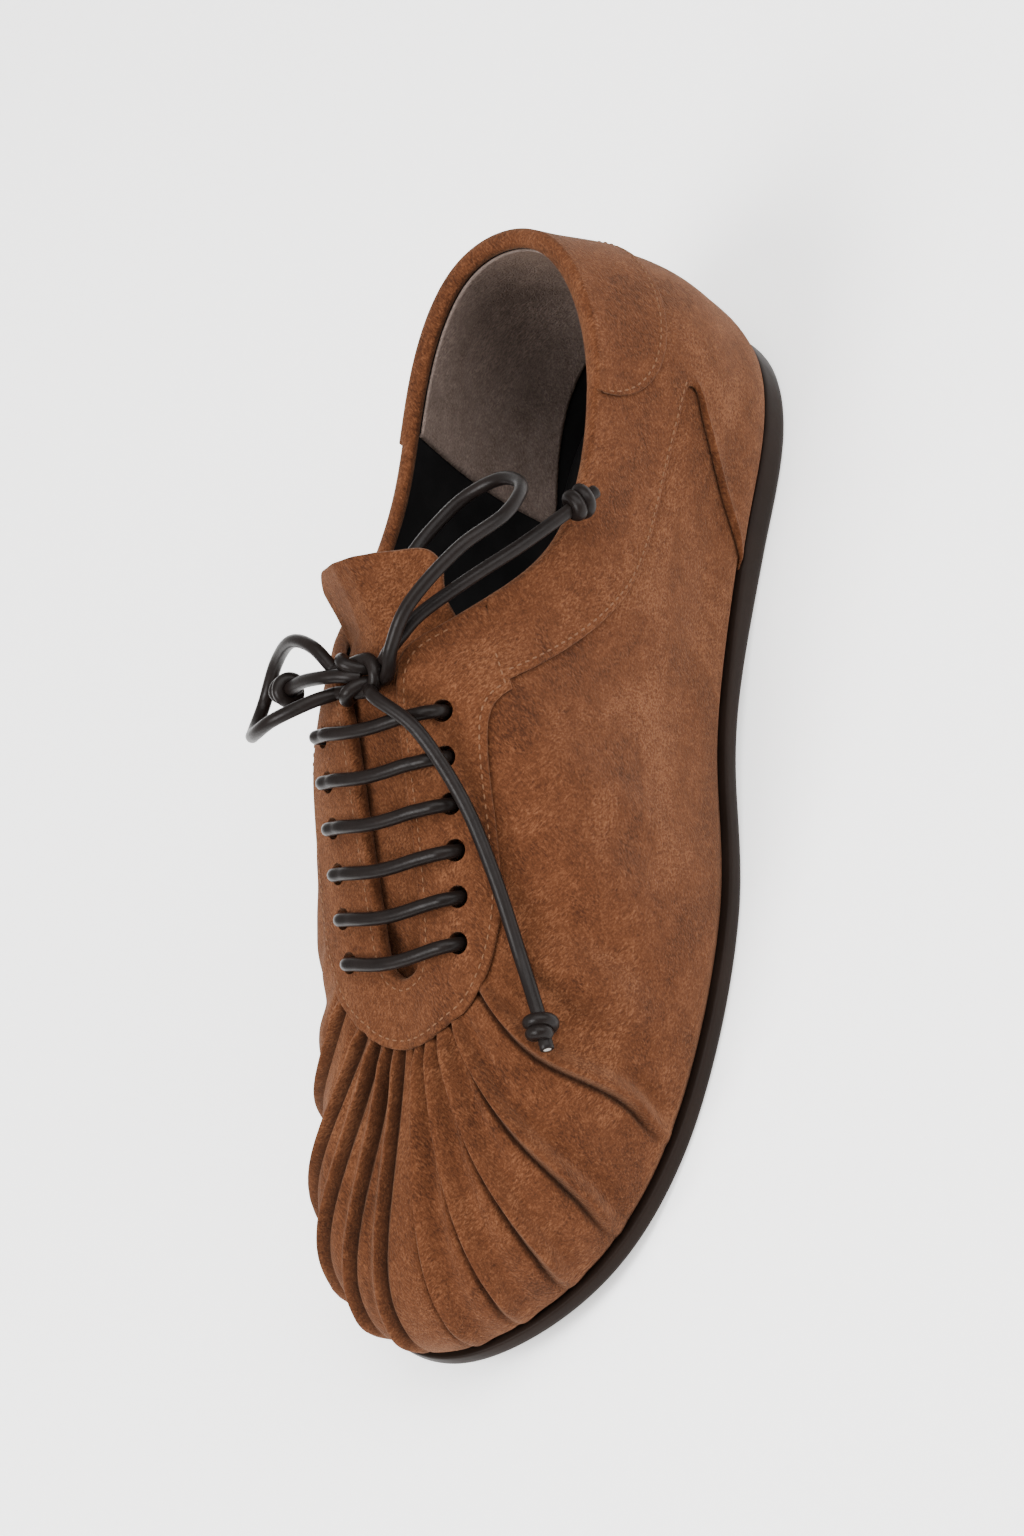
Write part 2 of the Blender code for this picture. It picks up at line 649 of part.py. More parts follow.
def cord(name, points, group, finish, radius=LACE_RADIUS, closed=False):
    """A round cord along points, with flat cut ends unless it is closed."""
    shape = bpy.data.curves.new(name, "CURVE")
    shape.dimensions = "3D"
    shape.bevel_depth = radius * MM
    shape.bevel_resolution = 2
    shape.use_fill_caps = not closed
    line = shape.splines.new("POLY")
    line.points.add(len(points) - 1)
    for point, place in zip(line.points, in_frame(points)):
        point.co = (*place, 1.0)
    line.use_cyclic_u = closed
    made = bpy.data.objects.new(name, shape)
    shape.materials.append(material(name, finish))
    group.objects.link(made)
    return made


BAR_LIFT = GAP + PANEL_WALL + 0.55 + LACE_RADIUS
BAR_BEND = 3.2
BAR_ANGLES = (0, 45, 90)
BAR_DEPTHS = (6.0, 1.0)
BAR_END = -1.2


def bar_half(side, along):
    """Half a bar at each row: out of the eyelet, round its edge and along the eyestay to the slot's edge."""
    turn, climb = beside_slot(side, EYELET_DEPTH, along)
    hole, out = skin(turn, climb), skin_out(turn, climb)
    near, edge = (lifted(*beside_slot(side, depth, along), BAR_LIFT) for depth in BAR_DEPTHS)
    across = near - hole
    across = unit(across - out * np.sum(across * out, axis=1, keepdims=True))
    points = [hole + out * BAR_END]
    for angle in np.radians(BAR_ANGLES):
        turned = BAR_BEND * (1.0 - math.cos(angle))
        points.append(hole + across * turned + out * (BAR_LIFT - BAR_BEND * (1.0 - math.sin(angle))))
    return np.array(points + [near, edge]).transpose(1, 0, 2)


def lace_bars(group):
    """Straight bars: each dips into its eyelet at both ends and crosses the slot above the eyestay."""
    halves = zip(bar_half("_out", eyelet_rows()), bar_half("_in", eyelet_rows()))
    for i, (outer, inner) in enumerate(halves):
        cord(f"lace_bar_{i + 1}", np.concatenate([outer, inner[::-1]]), group, "lace")


KNOT = np.array((125.6, 0.0, 81.2))
KNOT_RADIUS = 3.2
KNOT_PITCH = 3.5
KNOT_TURNS = 1.4
CORD_SPACING = 6.5
STOPPER_RADIUS = 3.4
# free cords as points from the knot, in millimetres along, to the outer side and up
FREE_CORDS = {
    "lace_loop_left": (
        (2.2, -4.2, -0.9), (2.2, -7.4, -0.7), (5.2, -11.5, 2.6), (8.8, -20.0, 4.4), (8.8, -29.0, 0.8),
        (4.2, -36.6, -5.4), (-4.5, -38.5, -8.2), (-11.0, -32.0, -3.4), (-11.4, -22.0, 2.4), (-7.6, -13.0, 4.0),
        (-2.2, -7.4, 1.4), (-2.0, -4.6, 1.0),
    ),
    "lace_loop_right": (
        (0.8, 3.6, -1.5), (1.1, 6.0, -1.0), (0.7, 8.8, 1.0), (-2.4, 12.6, 5.0), (-10.0, 18.6, 8.0),
        (-22.0, 27.4, 5.9), (-32.0, 33.2, 0.2), (-41.5, 31.4, -4.6), (-46.6, 22.6, -6.9), (-44.0, 12.8, -6.6),
        (-36.0, 6.2, -4.7), (-28.0, 3.0, -2.6), (-19.6, 2.0, 1.0),
    ),
    "lace_end_upper": (
        (-2.3, 5.6, 0.3), (-3.2, 9.0, 2.2), (-6.0, 12.6, 3.0), (-11.0, 16.4, 2.1), (-20.0, 23.6, -2.6),
        (-30.0, 30.0, -9.2), (-40.0, 34.5, -15.7), (-47.4, 37.1, -20.6),
    ),
    "lace_end_left": (
        (0.5, -5.2, 3.05), (0.2, -9.0, 3.3), (-0.9, -16.0, 1.9), (-1.8, -22.6, -0.9), (-2.6, -29.0, -4.3),
    ),
}
# the lower end lies on the shoe: place along the slot, depth below the rim and lift off the upper
LOWER_END_START = ((4.2, 3.8, 0.3), (7.4, 7.6, 1.5))
LOWER_END = (
    ("slot_top_out", 0.006, 9.0, 7.2),
    ("slot_mid_out", -0.006, 17.0, 4.6),
    ("slot_mid_out", 0.016, 22.5, 3.7),
    ("slot_low_out", 0.000, 28.5, 2.7),
    ("slot_low_out", 0.016, 34.0, 5.2),
    ("slot_low_out", 0.028, 38.0, 7.2),
)
STOPPERS = {
    "lace_stopper_upper": "lace_end_upper",
    "lace_stopper_lower": "lace_end_lower",
    "lace_stopper_left": "lace_end_left",
}
STUB = 5.2


def lower_end():
    """The long end that lies forward over the eyestay and the outer side of the vamp."""
    points = list(KNOT + np.array(LOWER_END_START))
    for name, shift, depth, lift in LOWER_END:
        turn = np.array([TURN[name] + shift])
        points.append(lifted(turn, climb_at_depth(turn, depth), lift)[0])
    return points


def ring_round(path, back):
    """A ring of points round a cord, back from its end."""
    runs = np.cumsum(np.linalg.norm(np.diff(path[::-1], axis=0), axis=1))
    i = len(path) - 2 - int(np.searchsorted(runs, back))
    share = (runs[len(path) - 2 - i] - back) / np.linalg.norm(path[i + 1] - path[i])
    centre = path[i] + (path[i + 1] - path[i]) * share
    along = unit(path[i + 1] - path[i])
    side = unit(np.cross(along, (0.0, 0.0, 1.0)))
    up = np.cross(side, along)
    angle = np.linspace(0.0, 2 * np.pi, 10, endpoint=False)[:, None]
    return centre + STOPPER_RADIUS * (np.cos(angle) * side + np.sin(angle) * up)


def free_laces(group):
    """The bow: the wrapped knot, its loops and ends, and the ring that stands for each stopper knot."""
    angle = np.linspace(0.0, 2 * np.pi * KNOT_TURNS, 14) + 0.6
    wrap = np.stack([KNOT_RADIUS * np.cos(angle), KNOT_PITCH * (angle / (2 * np.pi) - 0.5 * KNOT_TURNS - 0.1),
                     KNOT_RADIUS * np.sin(angle)], axis=-1)
    cord("lace_knot", KNOT + wrap, group, "lace")
    paths = {name: smooth_path(KNOT + np.array(points), CORD_SPACING) for name, points in FREE_CORDS.items()}
    paths["lace_end_lower"] = smooth_path(lower_end(), CORD_SPACING)
    for name, path in paths.items():
        cord(name, path, group, "lace")
    for name, carrier in STOPPERS.items():
        cord(name, ring_round(paths[carrier], STUB), group, "lace", closed=True)


# Building


def main():
    empty_scene()
    parts = collection("laced_loafer")
    cutters = collection("cutters")
    holes = eyelet_cutter(cutters)
    outsole(parts)
    insole(parts)
    cut(upper(parts), holes)
    cut(eyestay(parts), holes)
    quarter_panel(parts, cutters)
    heel_tab(parts)
    tongue(parts)
    lace_bars(parts)
    free_laces(parts)


main()
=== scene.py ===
"""Dresses a laced suede loafer for the left foot and sets it on a pale floor.

X runs from heel to toe, Y towards the wearer's left, which is the outer side, and Z up. Every suede
surface starts from one skin: a ring of profiles, each a cubic curve that climbs from the sole's edge to
the rim of the collar or of the lacing slot. turn says where round the shoe a point lies, from 0 at the
back of the heel through the outer side and the toe to 1, and climb how far up its profile. Tables are in
millimetres from the back of the sole.
"""

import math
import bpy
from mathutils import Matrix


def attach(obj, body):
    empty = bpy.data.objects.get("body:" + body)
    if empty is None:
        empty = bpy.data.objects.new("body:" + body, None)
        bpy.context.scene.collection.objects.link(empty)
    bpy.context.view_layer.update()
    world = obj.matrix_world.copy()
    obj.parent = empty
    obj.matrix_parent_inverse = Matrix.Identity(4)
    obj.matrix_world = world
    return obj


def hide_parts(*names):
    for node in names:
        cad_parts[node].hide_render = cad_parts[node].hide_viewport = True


bl_info = {
    "name": "Laced loafer",
    "version": (1, 0, 0),
    "blender": (4, 5, 0),
    "location": "View3D > Sidebar > Loafer",
    "description": "Builds the upper, panels, stitches, lace, sole and stage of a laced loafer",
    "category": "Object",
}

import bmesh
import bpy
import numpy as np
from bpy.props import FloatProperty, FloatVectorProperty, PointerProperty
from mathutils import Matrix, Vector

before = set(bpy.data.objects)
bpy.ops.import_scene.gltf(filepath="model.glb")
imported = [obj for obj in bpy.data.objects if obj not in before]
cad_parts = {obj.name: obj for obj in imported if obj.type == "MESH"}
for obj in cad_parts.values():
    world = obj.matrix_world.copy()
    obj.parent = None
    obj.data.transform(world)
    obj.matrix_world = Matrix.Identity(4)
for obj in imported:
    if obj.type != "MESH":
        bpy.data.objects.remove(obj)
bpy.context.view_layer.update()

MM = 0.001
# the frame's origin, in the millimetres of the tables
MIDDLE = (124.4, -1.06, 0.0)
# step of turn or climb for slopes that are read from two near points
TINY = 1e-4

SECTION_COLUMNS = ("foot_x", "foot_y", "rim_x", "rim_y", "rim_z", "swell", "rise", "pitch", "reach")
# foot: where the profile leaves the sole; rim: where it ends; swell: how far the low belly pulls outward;
# rise: its height as a share; pitch: slope at the rim in degrees; reach: length of the top bend as a share
SECTIONS = {
    "heel_back": (2.0, 0.0, 10.5, 0.0, 68.0, 9.0, 0.42, 70, 0.34),
    "heel_turn_out": (9.5, 19.0, 15.5, 14.0, 67.0, 8.5, 0.42, 71, 0.34),
    "heel_side_out": (30.0, 29.0, 32.5, 24.4, 62.6, 6.5, 0.41, 75, 0.34),
    "collar_low_out": (62.0, 29.8, 63.0, 28.0, 57.0, 5.0, 0.40, 80, 0.34),
    "collar_rise_out": (95.0, 31.8, 91.0, 26.8, 61.5, 3.6, 0.42, 68, 0.34),
    "quarter_out": (118.0, 35.0, 106.0, 20.2, 70.5, 3.0, 0.46, 50, 0.36),
    "facing_turn_out": (132.0, 38.0, 115.5, 13.4, 77.2, 3.0, 0.50, 36, 0.38),
    "facing_top_out": (142.0, 40.0, 122.0, 8.8, 79.6, 3.0, 0.52, 28, 0.40),
    "slot_top_out": (150.0, 41.3, 129.5, 7.2, 76.6, 3.0, 0.54, 22, 0.42),
    "slot_mid_out": (166.0, 42.5, 147.0, 6.6, 67.8, 3.0, 0.55, 18, 0.44),
    "slot_low_out": (190.0, 41.4, 167.0, 6.0, 57.8, 3.0, 0.55, 15, 0.44),
    "slot_end_out": (213.0, 36.6, 178.4, 4.6, 52.5, 3.0, 0.58, 16, 0.42),
    "toe_side_out": (232.0, 27.5, 181.2, 2.6, 51.1, 6.0, 0.68, 20, 0.44),
    "toe_turn_out": (244.8, 12.5, 182.0, 0.8, 50.7, 6.0, 0.68, 23, 0.44),
    "toe_tip": (249.8, -5.0, 182.2, -0.6, 50.6, 6.0, 0.68, 24, 0.44),
    "toe_turn_in": (245.2, -22.5, 181.8, -2.0, 50.7, 6.0, 0.68, 23, 0.44),
    "toe_side_in": (233.0, -36.0, 180.8, -3.6, 51.2, 6.0, 0.68, 20, 0.44),
    "slot_end_in": (214.0, -42.8, 177.8, -5.2, 52.7, 3.0, 0.58, 16, 0.42),
    "slot_low_in": (189.0, -44.6, 166.5, -6.2, 58.0, 3.0, 0.55, 15, 0.44),
    "slot_mid_in": (165.0, -42.0, 147.0, -6.8, 67.8, 3.0, 0.55, 18, 0.44),
    "slot_top_in": (149.0, -38.4, 129.5, -7.4, 76.6, 3.0, 0.54, 22, 0.42),
    "facing_top_in": (141.0, -36.2, 122.0, -9.0, 79.6, 3.0, 0.52, 28, 0.40),
    "facing_turn_in": (131.0, -33.4, 115.5, -13.6, 77.4, 3.0, 0.50, 36, 0.38),
    "quarter_in": (117.0, -30.8, 106.0, -20.4, 71.2, 3.2, 0.46, 50, 0.36),
    "collar_rise_in": (94.0, -28.4, 91.0, -26.4, 62.8, 4.0, 0.42, 68, 0.34),
    "collar_low_in": (62.0, -28.0, 63.0, -27.4, 58.2, 5.0, 0.40, 80, 0.34),
    "heel_side_in": (30.0, -28.0, 32.5, -24.0, 62.8, 6.5, 0.41, 75, 0.34),
    "heel_turn_in": (9.5, -18.4, 15.5, -13.8, 67.0, 8.5, 0.42, 71, 0.34),
}
# pull of the edge's inward direction on the way a profile leans, in millimetres
NORMAL_PULL = 8.0

# The sole, in millimetres
SOLE_LENGTH = 252.0
SOLE_MARGIN = 2.0
HEEL_THICKNESS = 7.0
FORE_THICKNESS = 4.0
HEEL_STEP_START = 46.0
HEEL_STEP_END = 112.0
HEEL_FLAT_END = 62.0
FORE_FLAT_START = 150.0
FORE_FLAT_END = 196.0
ARCH_LIFT = 2.2
TOE_SPRING = 7.0
SEAT_GAP = 0.3


# Properties


class LoaferSizes(bpy.types.PropertyGroup):
    """Sizes of the loafer's pieces."""

    upper_wall: FloatProperty(
        name="Upper wall", description="Thickness of the upper with its lining", default=0.0018, unit="LENGTH"
    )
    panel_wall: FloatProperty(
        name="Panel wall", description="Thickness of a suede panel", default=0.0012, unit="LENGTH"
    )
    tongue_wall: FloatProperty(
        name="Tongue wall", description="Thickness of the tongue", default=0.0016, unit="LENGTH"
    )
    pleat_rise: FloatProperty(
        name="Pleat rise",
        description="Height of the gathered folds of the toe",
        default=0.0022,
        unit="LENGTH",
    )
    eyelet_radius: FloatProperty(
        name="Eyelet radius", description="Radius of the punched lace holes", default=0.0024, unit="LENGTH"
    )
    lace_radius: FloatProperty(
        name="Lace radius", description="Radius of the round lace", default=0.0015, unit="LENGTH"
    )
    stitch_pitch: FloatProperty(
        name="Stitch pitch", description="Distance from one stitch to the next", default=0.0021, unit="LENGTH"
    )
    stitch_inset: FloatProperty(
        name="Stitch inset",
        description="Distance of the stitches from a panel's edge",
        default=0.0019,
        unit="LENGTH",
    )
    camera_distance: FloatProperty(
        name="Camera distance",
        description="Distance from the camera to the shoe",
        default=1.15,
        unit="LENGTH",
    )
    camera_roll: FloatProperty(
        name="Camera roll",
        description="Turn of the picture about the line of sight",
        default=1.0,
        unit="ROTATION",
    )


class LoaferColours(bpy.types.PropertyGroup):
    """Colours of the loafer's finishes."""

    suede: FloatVectorProperty(
        name="Suede",
        description="Brushed suede of the upper",
        subtype="COLOR",
        default=(0.066, 0.0218, 0.0084),
    )
    suede_dark: FloatVectorProperty(
        name="Suede, dark",
        description="Nap that lies away from the light",
        subtype="COLOR",
        default=(0.030, 0.0095, 0.0037),
    )
    suede_light: FloatVectorProperty(
        name="Suede, light",
        description="Nap that faces the light",
        subtype="COLOR",
        default=(0.135, 0.053, 0.0235),
    )
    thread: FloatVectorProperty(
        name="Thread", description="Tan sewing thread", subtype="COLOR", default=(0.115, 0.052, 0.024)
    )
    lace: FloatVectorProperty(
        name="Lace", description="Leather of the lace", subtype="COLOR", default=(0.0058, 0.0041, 0.0036)
    )
    lace_core: FloatVectorProperty(
        name="Lace core", description="Pale core at the cut ends", subtype="COLOR", default=(0.42, 0.40, 0.37)
    )
    black_leather: FloatVectorProperty(
        name="Black leather",
        description="Side lining and insole",
        subtype="COLOR",
        default=(0.0055, 0.0052, 0.0053),
    )
    heel_lining: FloatVectorProperty(
        name="Heel lining",
        description="Grey brown suede inside the heel",
        subtype="COLOR",
        default=(0.130, 0.098, 0.084),
    )
    sole: FloatVectorProperty(
        name="Sole", description="Dark brown rubber", subtype="COLOR", default=(0.0100, 0.0062, 0.0047)
    )
    floor: FloatVectorProperty(
        name="Floor", description="Pale studio floor", subtype="COLOR", default=(0.92, 0.91, 0.90)
    )


# Curves and the skin of the shoe


def smooth(low, high, x):
    """Eased step: 0 up to low, 1 from high, and 3 s squared less 2 s cubed between."""
    share = np.clip((np.asarray(x, float) - low) / (high - low), 0.0, 1.0)
    return share * share * (3.0 - 2.0 * share)


def bell(x, width):
    """Bell curve: e to the power of minus the square of x over width."""
    return np.exp(-((x / width) ** 2))


def unit(vectors):
    """Vectors divided by their lengths."""
    return vectors / np.linalg.norm(vectors, axis=-1, keepdims=True)


def closed_spline(knots, values, places):
    """Periodic cubic through rows of values at knots, which start at 0 and stay under 1, read at places."""
    count = len(knots)
    span = np.diff(np.append(knots, 1.0))
    before = np.roll(span, 1)
    row = np.arange(count)
    system = np.zeros((count, count))
    system[row, row] = 2.0 * (before + span)
    system[row, (row + 1) % count] = span
    system[row, (row - 1) % count] = before
    slope = (np.roll(values, -1, axis=0) - values) / span[:, None]
    bend = np.linalg.solve(system, 6.0 * (slope - np.roll(slope, 1, axis=0)))
    where = np.mod(np.asarray(places, float), 1.0)
    left = np.searchsorted(knots, where, side="right") - 1
    right = (left + 1) % count
    width = span[left][..., None]
    after = ((where - knots[left]) / span[left])[..., None]
    ahead = 1.0 - after
    curve = ahead * values[left] + after * values[right]
    return curve + ((ahead**3 - ahead) * bend[left] + (after**3 - after) * bend[right]) * width**2 / 6.0


def run_lengths(line):
    """Distance along a line at each of its points."""
    return np.concatenate([[0.0], np.cumsum(np.linalg.norm(np.diff(line, axis=0), axis=1))])


def read_line(line, run, wanted):
    """Values of a line's columns at the wanted distances, straight between its points."""
    return np.stack([np.interp(wanted, run, column) for column in line.T], axis=-1)


def evened(line, count):
    """Evenly spaced points along the straight runs of a line."""
    run = run_lengths(line)
    return read_line(line, run, np.linspace(0.0, run[-1], count))


PATH_STEPS = 24


def smooth_path(points, count):
    """Evenly spaced points on the soft cubic curve through the given points."""
    points = np.asarray(points, float)
    padded = np.concatenate([[2 * points[0] - points[1]], points, [2 * points[-1] - points[-2]]])
    share = np.linspace(0.0, 1.0, PATH_STEPS, endpoint=False)[None, :, None]
    before, start, end, after = (padded[i:len(padded) - 3 + i, None, :] for i in range(4))
    bend = (2 * before - 5 * start + 4 * end - after) * share**2
    line = start + 0.5 * ((end - before) * share + bend + (3 * start - before - 3 * end + after) * share**3)
    return evened(np.concatenate([line.reshape(-1, points.shape[1]), points[-1:]]), count)


def section_knots():
    """Place of each section round the shoe by distance along the sole's edge, and that edge's length."""
    feet = np.array([row[:2] for row in SECTIONS.values()])
    steps = np.linalg.norm(np.roll(feet, -1, axis=0) - feet, axis=1)
    return np.concatenate([[0.0], np.cumsum(steps)[:-1]]) / steps.sum(), steps.sum()


KNOTS, EDGE_LENGTH = section_knots()
SECTION_VALUES = np.array(list(SECTIONS.values()), float)
TURN = dict(zip(SECTIONS, KNOTS))


def sole_bottom(x):
    """Height of the sole's underside: flat heel and forefoot, a low arch between them, and the toe spring."""
    arch = np.sin(np.pi * np.clip((x - HEEL_FLAT_END) / (FORE_FLAT_START - HEEL_FLAT_END), 0.0, 1.0)) ** 2
    spring = np.clip((x - FORE_FLAT_END) / (SOLE_LENGTH - FORE_FLAT_END), 0.0, 1.0) ** 2
    return ARCH_LIFT * arch + TOE_SPRING * spring


def sole_top(x):
    """Height of the sole's upper side, thicker under the heel."""
    fore = smooth(HEEL_STEP_START, HEEL_STEP_END, x)
    return sole_bottom(x) + HEEL_THICKNESS + (FORE_THICKNESS - HEEL_THICKNESS) * fore


def edge_inward(turn):
    """Level direction square to the sole's edge, pointing into the shoe."""
    ahead = closed_spline(KNOTS, SECTION_VALUES[:, :2], turn + TINY)
    behind = closed_spline(KNOTS, SECTION_VALUES[:, :2], turn - TINY)
    run = ahead - behind
    return unit(np.stack([run[..., 1], -run[..., 0]], axis=-1))


def skin(turn, climb):
    """Outer face of the upper: the cubic with corners foot, belly, shoulder and rim, at climb along it."""
    turn, climb = np.broadcast_arrays(np.asarray(turn, float), np.asarray(climb, float))
    values = closed_spline(KNOTS, SECTION_VALUES, turn)
    at = {name: values[..., i] for i, name in enumerate(SECTION_COLUMNS)}
    foot = np.stack([at["foot_x"], at["foot_y"], sole_top(at["foot_x"]) + SEAT_GAP], axis=-1)
    rim = np.stack([at["rim_x"], at["rim_y"], at["rim_z"]], axis=-1)
    inward = edge_inward(turn)
    lean = unit((rim - foot)[..., :2] + NORMAL_PULL * inward)
    pitch = np.radians(at["pitch"])[..., None]
    arrive = np.concatenate([lean * np.cos(pitch), np.sin(pitch)], axis=-1)
    belly = foot.copy()
    belly[..., :2] -= at["swell"][..., None] * inward
    belly[..., 2] += at["rise"] * (rim - foot)[..., 2]
    shoulder = rim - arrive * (at["reach"] * np.linalg.norm(rim - foot, axis=-1))[..., None]
    share = climb[..., None]
    rest = 1.0 - share
    return rest**3 * foot + 3 * rest**2 * share * belly + 3 * rest * share**2 * shoulder + share**3 * rim


def skin_out(turn, climb):
    """Direction square to the skin, pointing out of the shoe: the cross product of its two runs."""
    along = skin(turn + TINY, climb) - skin(turn - TINY, climb)
    up = skin(turn, climb + TINY) - skin(turn, climb - TINY)
    return unit(np.cross(up, along))


def lifted(turn, climb, lift):
    """Points that stand lift off the skin, or inside it where lift is negative."""
    turn, climb = np.broadcast_arrays(np.asarray(turn, float), np.asarray(climb, float))
    return skin(turn, climb) + np.asarray(lift)[..., None] * skin_out(turn, climb)


PAST_RIM = 0.02
CLIMB_STEPS = 141


def climb_at_depth(turn, depth):
    """Climb of the points depth below the rim along their profile; a negative depth runs on past the rim.

    turn has one value for each profile, and depth one row for each profile.
    """
    turn = np.asarray(turn, float)
    depth = np.asarray(depth, float)
    climbs = np.linspace(1.0 + PAST_RIM, 0.0, CLIMB_STEPS)
    lines = skin(turn[:, None], climbs[None, :])
    runs = np.cumsum(np.linalg.norm(np.diff(lines, axis=1), axis=2), axis=1)
    runs = np.concatenate([np.zeros((len(lines), 1)), runs], axis=1)
    to_rim = np.array([np.interp(PAST_RIM, 1.0 + PAST_RIM - climbs, run) for run in runs])
    rows = depth.reshape(len(turn), -1)
    found = np.array([np.interp(row + start, run, climbs) for row, start, run in zip(rows, to_rim, runs)])
    return found.reshape(depth.shape)


# Relief of the suede: folds of the toe and soft creases


PLEAT_FEET = (6.0, 17.5, 30.0, 44.0, 66.0)
PLEAT_BOWS = (0.4, 0.8, 1.2, 1.6, 2.4)
EYESTAY_SIDE = 23.0
EYESTAY_FRONT = 15.0
PROFILE_LENGTH = 72.0

# across a fold, in millimetres past its crease where its breadth is 1
FOLD_START = -0.2
FOLD_CREST = 1.5
FOLD_END = 4.6
VALLEY_PLACE = 5.6
VALLEY_WIDTH = 1.7
GROOVE_PLACE = -0.25
GROOVE_WIDTH = 0.7
# a fold's breadth where the profiles meet, and what it gains where they are full apart
FOLD_NARROW = 0.62
FOLD_WIDEN = 0.45
# shares of a fold's height that are left at the sole and that the valley takes off
FOLD_AT_SOLE = 0.12
VALLEY_SHARE = 0.30
# depth of the crease, and how far a full fold leans along the surface, in millimetres
GROOVE_DEPTH = 0.75
FOLD_LEAN = 0.6

# swells beside a walking crease, as shares of its width and depth
SWELL_PLACE = 1.9
SWELL_WIDTH = 1.2
SWELL_SHARE = 0.42
# soft creases left by walking, across the flex of the vamp on both sides: turn and climb at the start and
# at the end, then bow, width and depth
CREASES = (
    (0.368, 0.70, 0.356, 0.16, 3.0, 4.0, 1.70),
    (0.346, 0.72, 0.334, 0.20, -3.0, 4.6, 1.40),
    (0.326, 0.60, 0.316, 0.24, 2.0, 4.4, 0.90),
    (0.300, 0.55, 0.287, 0.22, -2.0, 5.6, 0.70),
    (0.268, 0.46, 0.250, 0.20, 2.0, 6.0, 0.35),
    (0.640, 0.70, 0.652, 0.18, 3.0, 4.0, 1.60),
    (0.662, 0.70, 0.674, 0.22, -3.0, 4.6, 1.30),
    (0.684, 0.58, 0.694, 0.26, 2.0, 4.4, 0.85),
    (0.710, 0.52, 0.722, 0.24, -2.0, 6.0, 0.40),
)


def eyestay_depth(turn):
    """Width of the eyestay from the rim: narrow at the front, full beside the slot, nothing where it ends."""
    from_tip = np.abs(turn - TURN["toe_tip"])
    side = EYESTAY_FRONT + (EYESTAY_SIDE - EYESTAY_FRONT) * smooth(0.07, 0.17, from_tip)
    outer = np.interp(turn, [TURN["quarter_out"], TURN["facing_turn_out"] + 0.006], [0.0, 1.0])
    inner = np.interp(turn, [TURN["facing_turn_in"] - 0.006, TURN["quarter_in"]], [1.0, 0.0])
    return side * np.minimum(outer, inner)


def pleats(turn, climb):
    """Folds of the toe as height, painted shade of the crease and lean along the surface.

    Across a fold the height is an eased rise to its crest and an eased fall, less a bell in the valley past
    it, and the crease is a bell. Folds grow narrower where the profiles close in on each other. The crease
    bows sideways by a sine of climb. The folds flatten under the eyestay and at the sole.
    """
    turn, climb = np.broadcast_arrays(np.asarray(turn, float), np.asarray(climb, float))
    step = 1e-3
    run = np.linalg.norm(skin(turn + step, climb) - skin(turn - step, climb), axis=-1)
    spread = run / (2.0 * step * EDGE_LENGTH)
    edge = climb_at_depth(turn[:, 0], eyestay_depth(turn[:, 0]))[:, None]
    breadth = FOLD_NARROW + FOLD_WIDEN * np.clip(spread, 0.0, 1.0)
    sway = np.sin(2.0 * np.pi * np.clip(climb / edge, 0.0, 1.0)) * smooth(0.0, 0.2, climb)
    ridge, lean, groove, valley = (np.zeros(turn.shape) for _ in range(4))
    for side in (-1.0, 1.0):
        for foot, bow in zip(PLEAT_FEET, PLEAT_BOWS):
            past = ((turn - TURN["toe_tip"]) * side * EDGE_LENGTH - foot) * spread
            past = (past - bow * sway) / breadth
            fold = smooth(FOLD_START, FOLD_CREST, past) * (1.0 - smooth(FOLD_CREST, FOLD_END, past))
            valley = np.maximum(valley, bell(past - VALLEY_PLACE, VALLEY_WIDTH))
            lean = np.where(fold > ridge, -side * fold, lean)
            ridge = np.maximum(ridge, fold)
            groove = np.maximum(groove, bell(past - GROOVE_PLACE, GROOVE_WIDTH))
    low = FOLD_AT_SOLE + (1.0 - FOLD_AT_SOLE) * smooth(0.0, 0.16, climb)
    ridge = (ridge - VALLEY_SHARE * valley * (1.0 - ridge)) * low
    ridge = ridge * (1.0 - smooth(edge - 0.05, edge + 0.04, climb))
    groove = groove * low * (1.0 - smooth(edge, edge + 0.05, climb))
    lean = lean * low * smooth(0.04, 0.25, climb) * (1.0 - smooth(edge - 0.1, edge, climb))
    return ridge, groove, lean / (EDGE_LENGTH * spread)


def creases(turn, climb):
    """Soft creases: along a bowed line, a trough with a bell's section and a low swell on either side."""
    along = np.asarray(turn) * EDGE_LENGTH
    up = np.asarray(climb) * PROFILE_LENGTH
    height = np.zeros(np.broadcast(along, up).shape)
    for from_turn, from_climb, to_turn, to_climb, bow, width, depth in CREASES:
        start = np.array((from_turn * EDGE_LENGTH, from_climb * PROFILE_LENGTH))
        run = np.array((to_turn * EDGE_LENGTH, to_climb * PROFILE_LENGTH)) - start
        length = math.hypot(*run)
        share = ((along - start[0]) * run[0] + (up - start[1]) * run[1]) / length**2
        off = ((up - start[1]) * run[0] - (along - start[0]) * run[1]) / length
        off = off - bow * 4.0 * share * (1.0 - share)
        window = smooth(-0.20, 0.25, share) * (1.0 - smooth(0.65, 1.20, share))
        swell = bell(np.abs(off) - SWELL_PLACE * width, SWELL_WIDTH * width)
        height += depth * window * (SWELL_SHARE * swell - bell(off, width))
    return height


